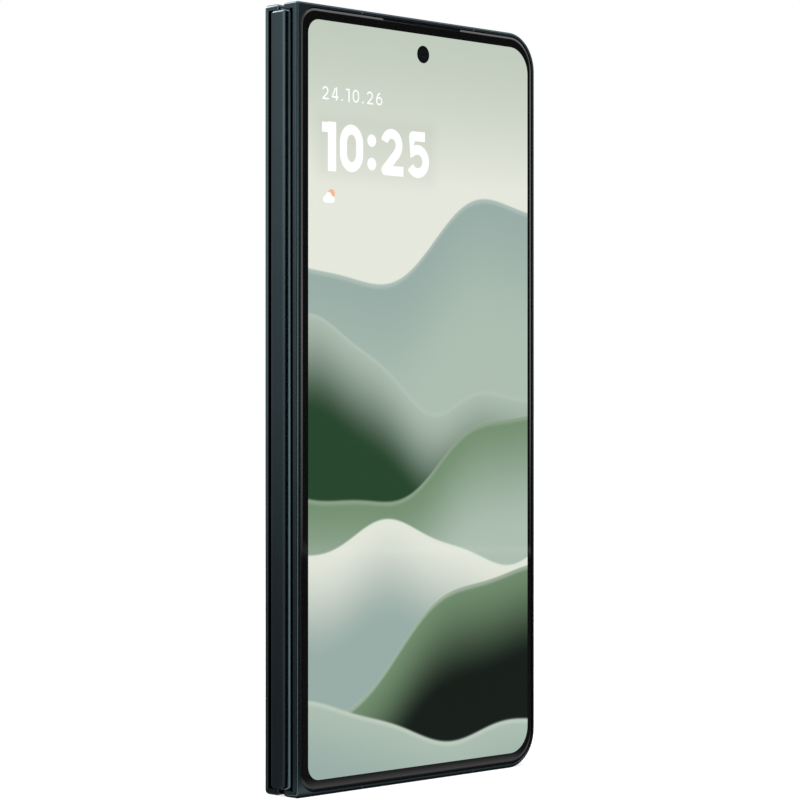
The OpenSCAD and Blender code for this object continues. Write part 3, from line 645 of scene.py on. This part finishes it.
class ScreenSettings(bpy.types.PropertyGroup):
    pale: paint("Upper sky", "sky at the screen's top", (0.53, 0.6, 0.515))
    cream: paint("Lower sky", "sky above the first slope", (0.79, 0.81, 0.72))
    mist: paint("Mist", "farthest slope", (0.32, 0.42, 0.39))
    mint: paint("Mint", "pale slopes", (0.42, 0.52, 0.44))
    leaf: paint("Leaf", "middle slopes", (0.17, 0.27, 0.16))
    deep: paint("Deep", "shaded slopes", (0.02, 0.06, 0.025))
    ink: paint("Ink", "darkest ground", (0.006, 0.011, 0.008))
    rim: paint("Crest", "light on each crest", (0.72, 0.79, 0.7))
    digits: paint("Digits", "clock", (1.0, 1.0, 1.0))
    shade: share("Shade", "How dark the soft shade behind the clock is", 0.09)
    sun: paint("Sun", "small sun", (0.93, 0.48, 0.3))
    brightness: share("Brightness", "How bright the screen is lit", 0.97, 0, 4)
    corner_hinge: length("Hinge corner", "Radius beside the spine", 0.003)
    corner_free: length("Free corner", "Radius at the free edge", 0.0056)
    left: length("Left margin", "Distance from the hinge edge to the clock", 0.00695)
    time_low: length("Clock level", "Height above the bottom edge", 0.12635)
    time_height: length("Clock height", "Height of the clock's figures", 0.01005)
    time_width: length("Clock width", "Width of the clock", 0.03165)
    weight: share("Clock weight", "Stroke of the figures as a share of their height", 0.235)
    date_low: length("Date level", "Height above the bottom edge", 0.1408)
    date_height: length("Date height", "Height of the date's figures", 0.0027)
    date_width: length("Date width", "Width of the date", 0.01745)
    sign: length("Sign level", "Height of the small weather sign", 0.1211)
    time: StringProperty(name="Time", description="Digits of the clock", default="10:25")
    date: StringProperty(name="Date", description="Digits of the date", default="24.10.26")

    def slopes(self):
        """Level, lean, swell, pace and phase of each crest, its two colours, the depth
        over which they change, and how clear its crest is."""
        return (
            (113, 0.10, 8.0, 0.075, 3.3, self.mist, self.mint, 30, 0.25),
            (84, -0.25, 5.0, 0.11, 0.6, self.mint, self.deep, 20, 0.1),
            (66, 0.22, 5.0, 0.09, 2.4, self.leaf, self.mint, 26, 0.15),
            (50, -0.05, 4.0, 0.10, 5.0, self.cream, self.mist, 22, 0.5),
            (30, 0.42, 5.0, 0.08, 4.1, self.leaf, self.ink, 20, 0.3),
            (12, -0.12, 3.0, 0.09, 1.0, self.mint, self.mist, 16, 0.3),
        )


class StudioSettings(bpy.types.PropertyGroup):
    lens: amount("Lens", "Focal length of the camera", 120.3, 20, 300, unit="CAMERA")
    floor: paint("Floor", "floor", (0.8, 0.8, 0.8))
    ambient: share("Ambient", "Strength of the light from all round", 0.4, 0, 2)
    strip: amount("Strip light", "Brightness of the upright strip", 2.8)
    top: amount("Top light", "Power of the light overhead", 5.0, unit="POWER")
    back: amount("Back light", "Power of the light behind the phone", 5.0, unit="POWER")


# ---------------- pieces


class Step:
    """What the operators share. Each makes its pieces in build."""
    bl_options = {"REGISTER", "UNDO"}

    def execute(self, context):
        self.build(context.scene)
        return {"FINISHED"}


class PHONE_OT_outer_glass(Step, bpy.types.Operator):
    """Outer glass with rounded edges, and the earpiece's slit at its top"""
    bl_idname = "phone.outer_glass"
    bl_label = "Outer glass"

    def build(self, scene):
        look = scene.phone_glass
        lo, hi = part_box("cover_glass")
        glass = plate("outer_glass", lo, hi, look.hinge_corner, look.free_corner,
                      look.edge, look.edge_slope)
        mesh = middle("earpiece_mesh")
        half_long, half_tall = look.slit_length / 2, 0.0003
        slit = block("slit", (mesh.x - half_long, lo.y - CLEAR, mesh.z - half_tall),
                     (mesh.x + half_long, hi.y + CLEAR, hi.z + CLEAR))
        with Shaping(slit) as shape:
            shape.edges_along_y(lambda place: place.z < mesh.z)
            bevel(0.00028, 6)
        cut(glass, slit)
        cut_camera_window(glass, look.window)
        dress(soften(glass), "cover_half", "cover_glass",
              gloss("glass_border", look.border), "cover_glass")


class PHONE_OT_earpiece(Step, bpy.types.Operator):
    """Woven mesh in the earpiece's slit"""
    bl_idname = "phone.earpiece"
    bl_label = "Earpiece mesh"

    def build(self, scene):
        lo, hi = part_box("earpiece_mesh")
        mesh = block("earpiece_weave", lo, hi)
        with Shaping(mesh) as shape:
            shape.edges_along_y()
            bevel((hi.z - lo.z) * 0.48, 6)
            shape.face_at(lo.y)
            shape.sink(FRONT, (0.00006, 0.00005))
        dress(soften(mesh), "cover_half", "black_plastic", woven("speaker_weave"),
              "earpiece_mesh")


class PHONE_OT_screen(Step, bpy.types.Operator):
    """Lit screen under the glass, with its picture"""
    bl_idname = "phone.screen"
    bl_label = "Lit screen"

    def build(self, scene):
        look = scene.phone_screen
        lo, hi = (corner.copy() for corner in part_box("cover_display"))
        lo.y, hi.y = GLASS_Y - 0.00001, GLASS_Y + 0.0002
        screen = plate("lit_screen", lo, hi, look.corner_hinge, look.corner_free)
        cut_camera_window(screen, scene.phone_glass.window)
        dress(soften(screen), "cover_half", "display_panel",
              lit_picture("lit_picture", look), "cover_display")


def arc(x, z, wide, tall, start, stop, steps=18):
    """Points of an elliptical arc, with its angles in degrees."""
    turns = [math.radians(start + (stop - start) * k / steps) for k in range(steps + 1)]
    return [(x + wide * math.cos(turn), z + tall * math.sin(turn)) for turn in turns]


def bent(*corners):
    """A line through corners that are turned in a few small steps."""
    radius, steps = 0.03, 5
    line = [corners[0]]
    for before, corner, after in zip(corners, corners[1:], corners[2:]):
        a, b, c = Vector(before), Vector(corner), Vector(after)
        start, stop = b - (b - a).normalized() * radius, b + (c - b).normalized() * radius
        for k in range(steps + 1):
            t = k / steps
            line.append(tuple(start * (1 - t) ** 2 + b * (2 * t * (1 - t)) + stop * t * t))
    return line + [corners[-1]]


def figure_strokes(ex, ez):
    """Points of each figure's strokes, in a cell of one by one that the stroke's middle
    runs in. ex and ez are half a stroke in the cell."""
    return {
        "0": [arc(0.5, 0.64, 0.5, 0.36, 0, 180) + arc(0.5, 0.36, 0.5, 0.36, 180, 360)],
        "1": [[(1, 1 + ez), (1, -ez)], [(-ex, 1), (1, 1)]],
        "2": [arc(0.5, 0.7, 0.47, 0.3, 165, -38)
              + bent((0.84, 0.48), (0.05, 0.0), (1 + ex, 0.0))],
        "3": [arc(0.48, 0.75, 0.45, 0.25, 150, -90), arc(0.48, 0.25, 0.52, 0.25, 90, -150)],
        "4": [[(0.8, -ez), (0.8, 1 + ez)], bent((0.55, 1.0), (0.0, 0.22), (1 + ex, 0.22))],
        "5": [bent((0.95, 1.0), (0.14, 1.0), (0.08, 0.52))
              + arc(0.47, 0.32, 0.53, 0.32, 130, -150)],
        "6": [arc(0.5, 0.31, 0.5, 0.31, 0, 360), arc(0.8, 0.33, 0.8, 0.67, 180, 97)],
        "7": [bent((-ex, 1.0), (1.0, 1.0), (0.36, -ez))],
        "8": [arc(0.5, 0.75, 0.44, 0.25, 0, 360), arc(0.5, 0.26, 0.5, 0.26, 0, 360)],
        "9": [arc(0.5, 0.69, 0.5, 0.31, 0, 360), arc(0.2, 0.67, 0.8, 0.67, 0, -83)],
    }


# Rooms of the figures as shares of their height, and of a dot as a share of its stroke.
ROOM, ROOM_OF_1, ROOM_OF_DOT = 0.7, 0.4, 1.24
COLON_DOTS = (0.22, 0.7)        # heights of a colon's dots, as shares of the figures'
MARKS_Y = GLASS_Y - 0.000018    # the clock lies this near before the screen
MARKS_RELIEF = 0.00001          # and is this thick


def figures(name, words, left, low, width, height, stroke, material):
    """Figures spread over a width, each drawn with strokes of an even weight."""
    rooms = [stroke * ROOM_OF_DOT if word in ":." else
             height * (ROOM_OF_1 if word == "1" else ROOM) for word in words]
    gap = (width - sum(rooms)) / max(1, len(words) - 1)
    pick()
    bpy.ops.curve.primitive_nurbs_path_add()
    curve = bpy.context.object.data
    curve.splines.clear()
    curve.dimensions = "3D"
    curve.bevel_resolution = 1
    curve.use_fill_caps = True
    tall = height - stroke
    for word, room in zip(words, rooms):
        if word in ":.":
            spots = COLON_DOTS if word == ":" else (0.62 * stroke / height,)
            dot = stroke * 0.12
            lines = [arc(left + room / 2, low + height * spot, dot, dot, 0, 340)
                     for spot in spots]
        else:
            side = room - stroke
            cells = figure_strokes(stroke / 2 / side, stroke / 2 / tall)[word]
            lines = [[(left + stroke / 2 + x * side, low + stroke / 2 + z * tall)
                      for x, z in cell] for cell in cells]
        for line in lines:
            spline = curve.splines.new("POLY")
            spline.points.add(len(line) - 1)
            spline.use_cyclic_u = word in ":.0" or math.dist(line[0], line[-1]) < TOUCH
            for point, (x, z) in zip(spline.points, line):
                point.co = (x, 0, z, 1)
        left += room + gap
    curve.bevel_depth = stroke / 2
    bpy.ops.object.convert(target="MESH")
    piece = settle(name)
    for vertex in piece.data.vertices:
        vertex.co.y = MARKS_Y + vertex.co.y * MARKS_RELIEF / stroke
    dress(soften(piece), "cover_half", "display_panel", material)


class PHONE_OT_clock(Step, bpy.types.Operator):
    """Digits of the clock and the date, and the small weather sign"""
    bl_idname = "phone.clock"
    bl_label = "Clock"

    def build(self, scene):
        look = scene.phone_screen
        white = glowing("clock_light", look.digits)
        left = HINGE_X + look.left
        figures("clock_time", look.time, left, look.time_low, look.time_width,
                     look.time_height, look.time_height * look.weight, white)
        figures("clock_date", look.date, left, look.date_low, look.date_width,
                     look.date_height, look.date_height * 0.14, white)

        centre = Vector((left + 0.0021, GLASS_Y - 0.000015, look.sign))
        sun = disc("weather_sun", centre + Vector((0.0006, 0, 0.0007)), 0.00095,
                   MARKS_RELIEF, FRONT, 32)
        dress(soften(sun), "cover_half", "display_panel",
              glowing("sun_light", look.sun))
        puffs = [disc("puff", centre + Vector(place), radius, MARKS_RELIEF, FRONT, 32)
                 for place, radius in (((-0.0011, -0.000004, -0.0005), 0.0007),
                                       ((-0.0002, -0.000005, 0), 0.00095),
                                       ((0.0008, -0.000006, -0.0005), 0.0007))]
        cloud = block("weather_cloud", centre + Vector((-0.0011, -0.000008, -0.0012)),
                      centre + Vector((0.0008, 0.0, -0.0005)))
        pick(cloud, *puffs)
        bpy.ops.object.join()
        dress(soften(cloud), "cover_half", "display_panel", white)


class PHONE_OT_front_camera(Step, bpy.types.Operator):
    """Round window of the front camera with its dark lens"""
    bl_idname = "phone.front_camera"
    bl_label = "Front camera"

    def build(self, scene):
        at, radius = middle("front_camera"), scene.phone_glass.window
        pane = window("front_camera_window", (at.x, GLASS_Y - 0.00002, at.z), radius, 0.0006,
                      FRONT, 64, 0, (radius * 0.5, 0.00001), (radius * 0.16, 0.00008),
                      (radius * 0.1, 0.00008))
        dress(pane, "cover_half", "lens_black",
              lens_glass("front_lens", (0.006, 0.008, 0.01), (at.x, at.z)), "front_camera")


SHELLS = {"cover_frame": "cover_frame_shell", "rear_frame": "rear_frame_shell",
          "hinge_cover": "spine_shell", "power_button": "power_key",
          "volume_rocker": "volume_key", "card_tray": "card_drawer"}


class PHONE_OT_frames(Step, bpy.types.Operator):
    """Dyed aluminium of both halves, the spine, the buttons and the card tray"""
    bl_idname = "phone.frames"
    bl_label = "Frames"

    def build(self, scene):
        look = scene.phone_metal
        metal = anodised("dyed_aluminium", look.body, look.roughness)
        for node, name in SHELLS.items():
            restyle(node, name, "frame_metal", metal)

        # The rear half's lip, where it looks at the spine, gets a lighter colour, a painted highlight for the
        # bright reflection along it, and a slightly smoother finish.
        shell = bpy.data.objects["rear_frame_shell"].data
        shell.materials.append(anodised(
            "burnished_aluminium", toned(look.body, look.lip), look.roughness * 0.8))
        lip_from, lip_wide = FOLD_Y + 0.0035, 0.00015
        for face in shell.polygons:
            at = face.center
            if at.y > lip_from and at.x < HINGE_X + lip_wide and face.normal.x < -0.8:
                face.material_index = 1


class PHONE_OT_back(Step, bpy.types.Operator):
    """Etched back panel, camera island and lens rings"""
    bl_idname = "phone.back"
    bl_label = "Back panel and island"

    def build(self, scene):
        look = scene.phone_metal
        restyle("back_panel", "back_pane", "back_glass",
                frosted_glass("etched_glass", look.panel))
        restyle("camera_island", "camera_bar", "frame_metal",
                anodised("island_metal", look.body, 0.3))
        restyle("camera_rings", "lens_rings", "camera_trim", polished("ring_metal", look.trim))


class PHONE_OT_lenses(Step, bpy.types.Operator):
    """Rear lenses, each a stepped cone with a rounded rim, and the flash"""
    bl_idname = "phone.lenses"
    bl_label = "Rear lenses"

    def build(self, scene):
        lo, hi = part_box("camera_lenses")
        x, radius = (lo.x + hi.x) / 2, (hi.x - lo.x) / 2
        heights = (lo.z + radius, (lo.z + hi.z) / 2, hi.z - radius)
        coated = lens_glass("coated_lens", (0.02, 0.018, 0.05), *[(x, z) for z in heights])
        for number, z in enumerate(heights, 1):
            lens = window("rear_lens_%d" % number, (x, hi.y, z), radius, hi.y - lo.y, BACK, 96,
                          0.00012, (radius * 0.2, 0.00001), (radius * 0.12, 0.00012),
                          (radius * 0.16, 0.00005), (radius * 0.14, 0.00012))
            dress(lens, "rear_half", "lens_black", coated)
        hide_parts("camera_lenses")

        lo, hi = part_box("flash_lens")
        centre = (lo + hi) / 2
        flash = window("flash_window", (centre.x, hi.y, centre.z), (hi.x - lo.x) / 2,
                       hi.y - lo.y, BACK, 48, 0, (0.00025, 0.00015))
        dress(flash, "rear_half", "flash_diffuser",
              diffuser("flash_rings", (0.9, 0.86, 0.66), centre), "flash_lens")


# The bend of a film, from the pivot: u leads away from the hinge edge, and v away from
# the fold plane.
BEND_FACE = 0.00087         # the film's face, in u when open and in v when folded
BEND_END = 0.0025           # u where the folded film runs flat again
BEND_CUTS = 56              # pieces that a strip is cut into along its bend
RIBBON_WIDTH = 0.014
RIBBON_REACH = 0.0046       # how far a ribbon reaches from the fold plane, when open


def folded(u, v, start, along):
    """Rest place, from the pivot, of a film point that lies at (u, v) when the phone is
    open. It makes a share of the quarter turn that its rest place itself gives, from 0 at
    start to 1 at the end of along, and halving finds that share."""
    reach = along[0] ** 2 + along[1] ** 2
    low, high = 0.0, 1.0
    for _ in range(40):
        turned = (low + high) / 2
        angle = turned * (math.pi / 2)
        x = u * math.cos(angle) + v * math.sin(angle)
        y = -u * math.sin(angle) + v * math.cos(angle)
        t = ((x - start[0]) * along[0] + (y - start[1]) * along[1]) / reach
        t = max(0.0, min(1.0, t))
        if t * t * (3 - 2 * t) > turned:
            low = turned
        else:
            high = turned
    return x, y


def strip(name, half, low, high, face, thickness, reach, slot, material):
    """One half's bending strip between two heights. When open, its face lies this
    far from the hinge edge and its end reaches this far from the fold plane."""
    side, pivot = SIDES[half], PIVOT[half + "_fold"]
    rise = abs(pivot.y - FOLD_Y)
    piece = block(name, (HINGE_X + face - thickness, FOLD_Y, low),
                  (HINGE_X + face, FOLD_Y + reach, high))
    with Shaping(piece) as shape:
        for number in range(1, BEND_CUTS):
            shape.all()
            bpy.ops.mesh.bisect(plane_co=(0, FOLD_Y + reach * (number / BEND_CUTS), 0),
                                plane_no=(0, 1, 0))

    def place(u, v, z=0):
        return pivot.x + u, FOLD_Y + side * (rise + v), z

    start, end = (BEND_FACE, -rise), (BEND_END, -BEND_FACE)
    along = (end[0] - start[0], end[1] - start[1])
    for vertex in piece.data.vertices:
        u, v = vertex.co.x - pivot.x, vertex.co.y - FOLD_Y - rise
        vertex.co = place(*folded(u, v, start, along), vertex.co.z)
    with Shaping(piece) as shape:
        shape.all()
        bpy.ops.mesh.normals_make_consistent(inside=False)
    dress(soften(piece, 40), None, slot, material)
    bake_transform(piece)
    return piece


class PHONE_OT_folding_film(Step, bpy.types.Operator):
    """Middle of the inner display and the ribbons behind it, bent round the fold"""
    bl_idname = "phone.folding_film"
    bl_label = "Folding film"

    def build(self, scene):
        lo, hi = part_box("inner_display_fold")
        flat_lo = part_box("inner_display_rear")[0]
        pivot = PIVOT["rear_fold"]
        face = (pivot.x - HINGE_X) + abs(pivot.y - FOLD_Y) - (flat_lo.y - FOLD_Y)
        dark = film("folding_film", (0.012, 0.012, 0.014))
        films = [strip("film_" + half, half, lo.z, hi.z, face, 0.0003, flat_lo.x - HINGE_X,
                       "inner_display", dark) for half in SIDES]
        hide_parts("inner_display_fold")
        coat(dark, "inner_display_rear inner_display_cover")

        low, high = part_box("hinge_flex")
        amber = ribbon("ribbon_cable", (0.45, 0.24, 0.06))
        ribbons = [strip("ribbon_%s_%s" % (label, half), half, z, z + RIBBON_WIDTH,
                         face - 0.0004, 0.0001, RIBBON_REACH, "flex_ribbon", amber)
                   for label, z in (("lower", low.z), ("upper", high.z - RIBBON_WIDTH))
                   for half in SIDES]
        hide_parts("hinge_flex")


class PHONE_OT_inside(Step, bpy.types.Operator):
    """Finishes of the hinge, the boards, the batteries and all that stays as modelled"""
    bl_idname = "phone.inside"
    bl_label = "Inside"

    def build(self, scene):
        look = scene.phone_metal
        coat(brushed("hinge_metal", look.steel), "hinge_base rear_hinge_arms "
             "cover_hinge_arms haptic_motor usb_port board_shield button_switches "
             "rear_magnets cover_magnets")
        coat(polished("pin_metal", look.steel), "pivot_pins idler_pins spine_screws "
             "rear_arm_screws cover_arm_screws idler_bottom_rear idler_bottom_cover "
             "idler_top_rear idler_top_cover")
        coat(brushed("support_alloy", look.alloy, 0.42), "rear_support_plate "
             "cover_support_plate")
        coat(moulded("bezel_plastic", (0.02, 0.02, 0.02), 0.5), "rear_bezel_trim "
             "cover_bezel_trim camera_modules loudspeaker earpiece_speaker")
        coat(moulded("antenna_resin", (0.02, 0.028, 0.032), 0.3), "rear_antenna_breaks "
             "cover_antenna_breaks")
        coat(pouch("battery_foil", (0.62, 0.63, 0.65)), "rear_battery cover_battery")
        coat(circuit("solder_mask", (0.02, 0.12, 0.06)), "main_board cover_board")
        coat(wound_coil("coil_wire", (0.72, 0.4, 0.2), middle("charging_coil")),
             "charging_coil")
        inner = middle("inner_camera")
        coat(lens_glass("inner_lens", (0.02, 0.018, 0.04), (inner.x, inner.z)),
             "inner_camera")


# ---------------- studio


# Cards that stand round the phone and mats that lie before it, which only reflections
# see. Each has its span in degrees, its strength, or None for the strip light's, and
# its stops: places with the brightness there as a share. A card's places are heights,
# and a mat's are distances in front of the glass.
CARDS = (
    ("flag_behind", (40, 108), 1, ((-0.01, 0.2), (0.1, 0.35), (0.3, 0.4), (0.5, 0.5))),
    ("flag_back", (108, 141), 1,
     ((-0.01, 0.25), (0.03, 0.28), (0.08, 0.4), (0.145, 0.5), (0.2, 0.58), (0.9, 0.62))),
    ("strip_left", (141, 182), 1.9,
     ((-0.01, 0.25), (0.08, 0.3), (0.145, 0.47), (0.195, 0.83), (0.26, 1), (0.6, 1))),
    ("flag_near", (182, 246), 1, ((-0.01, 0), (1.6, 0))),
    ("strip_front", (232, 262), None,
     ((-0.01, 0.75), (0.08, 1), (0.145, 0.8), (0.195, 0.5), (0.245, 0.22), (0.3, 0.05))),
    ("strip_glass", (262, 296), 2.4,
     ((-0.01, 0.15), (0.036, 0.45), (0.13, 1), (0.2, 0.65), (0.3, 0.5), (1, 0.4))),
    ("flag_right", (296, 324.5), 2.7,
     ((-0.01, 0.02), (0.4, 0.02), (0.47, 0.9), (0.8, 0.9), (0.95, 0.1), (2, 0.03))),
    ("glow_right", (324.5, 345), 2.5,
     ((-0.01, 0.05), (0.036, 0.2), (0.08, 0.55), (0.25, 0.65), (0.33, 0.3), (0.45, 0.9),
      (0.8, 0.9), (0.95, 0.1), (2, 0.02))),
    ("glow_far", (345, 360), 2.5,
     ((-0.01, 0.05), (0.036, 0.2), (0.08, 0.6), (0.25, 0.65), (0.4, 0.1), (0.5, 0.02),
      (2, 0.02))),
)
MATS = (
    ("mat_behind", (40, 108), 1, ((0, 0.15), (1, 0.15))),
    ("mat_back", (108, 141), 1, ((0, 0.15), (1, 0.15))),
    ("mat_left", (141, 182), 1, ((0, 0.36), (1, 0.36))),
    ("mat_near", (182, 232), 1, ((0, 0), (1, 0))),
    ("mat_strip", (232, 262), None, ((0, 0.6), (1, 0.6))),
    ("mat_right", (262, 358), 1,
     ((0, 0.03), (0.0012, 0.05), (0.0028, 0.3), (0.0048, 1.1), (0.008, 0.9), (0.013, 0.3),
      (0.018, 0.08), (0.4, 0.05))),
)
CARD_RADIUS, STRIP_RADIUS, MAT_RADIUS = 0.95, 0.9, 0.9      # the strip stands before a flag
MAT_Z = 0.0002
LAMP_TARGET = Vector((0, 0, 0.08))
CAMERA_PLACE, CAMERA_AIM = (-0.4065, -0.3929, 0.0785), Vector((0.7188, 0.6953, 0.0026))
FLOOR_GLOW = 0.75           # light that the camera alone sees in the floor


def card(name, span, strength, stops, radius):
    """An upright card that is curved round the phone."""
    low, high = stops[0][0], stops[-1][0]
    pick()
    bpy.ops.mesh.primitive_cylinder_add(
        vertices=144, radius=radius, depth=high - low, end_fill_type="NOTHING",
        location=(0, 0, (low + high) / 2))
    reflect(name, span, strength, stops, 0, 0, lambda place: place[2])


def mat(name, span, strength, stops):
    """A mat round the phone's hinge edge."""
    pick()
    bpy.ops.mesh.primitive_circle_add(
        vertices=180, radius=MAT_RADIUS, fill_type="TRIFAN",
        location=(HINGE_X, FOLD_Y, MAT_Z))
    reflect(name, span, strength, stops, HINGE_X, FOLD_Y,
            lambda place: GLASS_Y * MM - place[1])


def reflect(name, span, strength, stops, x, y, measure):
    """Keeps the part of the active piece that a span of azimuths from (x, y) holds, and
    lights it along its stops. measure gives the place in millimetres."""
    def outside(centre):
        azimuth = math.degrees(math.atan2(centre.y - y, centre.x - x)) % 360
        return not span[0] <= azimuth <= span[1]

    piece = settle(name)
    with Shaping(piece) as shape:
        shape.faces(outside)
        bpy.ops.mesh.delete(type="FACE")
    f = Finish(name + "_paint")
    first, last = stops[0][0], stops[-1][0]
    along = (measure(f.place) - first * MM) * (1 / MM / (last - first))
    levels = [((at - first) / (last - first), (level, level, level)) for at, level in stops]
    piece.data.materials.append(f.close(f.node(
        "Emission", None, Color=f.ramp(along, levels), Strength=strength)))
    piece.visible_camera = piece.visible_diffuse = piece.visible_shadow = False


def lamp(name, place, power, size):
    """A square light that is turned to the phone."""
    pick()
    bpy.ops.object.light_add(type="AREA", location=place)
    light = bpy.context.object
    light.name = name
    light.data.size = size
    light.data.energy = power
    aim = LAMP_TARGET - light.location
    light.rotation_euler = aim.to_track_quat("-Z", "Z").to_euler()
    light.visible_camera = False


def surroundings(scene, ambient):
    """White where the camera or a reflection sees them, and else a softer light."""
    f = Finish(bpy.data.worlds.new("surroundings"), "OutputWorld")
    ray = f.node("LightPath").outputs
    seen = Value(f, ray["Is Camera Ray"]).most(ray["Is Glossy Ray"])
    seen = seen.most(ray["Is Transmission Ray"])
    level = f.node("MapRange", None, Value=seen, To_Min=ambient, To_Max=1.0)
    scene.world = f.close(f.node("Background", None,
                                 Color=(1, 1, 1), Strength=level.outputs[0]))


def floor(colour):
    pick()
    bpy.ops.mesh.primitive_grid_add(x_subdivisions=2, y_subdivisions=2, size=30)
    ground = settle("floor")
    f = Finish("floor_paint")
    matt = f.node("BsdfDiffuse", None,
                  Color=f.mix(f.noise(0.6, 1), colour, toned(colour, 1.01)))
    glow = f.node("Emission", None, Color=(1, 1, 1), Strength=FLOOR_GLOW)
    both = f.node("AddShader", None, matt.outputs[0], glow.outputs[0])
    seen = f.node("LightPath").outputs["Is Camera Ray"]
    ground.data.materials.append(f.close(
        f.node("MixShader", None, seen, matt.outputs[0], both.outputs[0])))


def place_camera(scene, lens):
    bpy.ops.object.camera_add(location=CAMERA_PLACE)
    camera = scene.camera = bpy.context.object
    camera.name = "camera"
    camera.data.lens = lens
    camera.data.sensor_width = 36
    camera.data.clip_start = 0.01
    camera.rotation_euler = CAMERA_AIM.to_track_quat("-Z", "Y").to_euler()


class PHONE_OT_studio(Step, bpy.types.Operator):
    """Floor, flags, lights, surroundings and camera"""
    bl_idname = "phone.studio"
    bl_label = "Studio"

    def build(self, scene):
        look = scene.phone_studio
        scene.view_settings.view_transform = "Standard"
        surroundings(scene, look.ambient)
        floor(look.floor)
        for name, span, strength, stops in CARDS:
            if strength is None:
                card(name, span, look.strip, stops, STRIP_RADIUS)
            else:
                card(name, span, strength, stops, CARD_RADIUS)
        for name, span, strength, stops in MATS:
            mat(name, span, look.strip if strength is None else strength, stops)
        lamp("overhead", (-0.15, -0.25, 1.1), look.top, 0.7)
        lamp("back_light", (-0.2, 0.72, 0.78), look.back, 0.4)
        place_camera(scene, look.lens)


STEPS = (
    PHONE_OT_studio, PHONE_OT_frames, PHONE_OT_outer_glass, PHONE_OT_earpiece,
    PHONE_OT_screen, PHONE_OT_clock, PHONE_OT_front_camera, PHONE_OT_back,
    PHONE_OT_lenses, PHONE_OT_folding_film, PHONE_OT_inside,
)


class PHONE_PT_panel(bpy.types.Panel):
    """Sizes and colours of the phone, and a button for each step"""
    bl_label = "Foldable phone"
    bl_space_type = "VIEW_3D"
    bl_region_type = "UI"
    bl_category = "Foldable phone"

    def draw(self, context):
        for group in GROUPS:
            settings = getattr(context.scene, group)
            box = self.layout.box()
            for name in type(settings).__annotations__:
                box.prop(settings, name)
        for step in STEPS:
            self.layout.operator(step.bl_idname)


GROUPS = {
    "phone_metal": MetalSettings,
    "phone_glass": GlassSettings,
    "phone_screen": ScreenSettings,
    "phone_studio": StudioSettings,
}


def register():
    for name, group in GROUPS.items():
        bpy.utils.register_class(group)
        setattr(bpy.types.Scene, name, bpy.props.PointerProperty(type=group))
    for step in (*STEPS, PHONE_PT_panel):
        bpy.utils.register_class(step)


def unregister():
    for step in (PHONE_PT_panel, *reversed(STEPS)):
        bpy.utils.unregister_class(step)
    for name, group in reversed(GROUPS.items()):
        delattr(bpy.types.Scene, name)
        bpy.utils.unregister_class(group)


def main():
    register()
    for step in STEPS:
        family, name = step.bl_idname.split(".")
        getattr(getattr(bpy.ops, family), name)()
    pick()


if __name__ == "__main__":
    main()
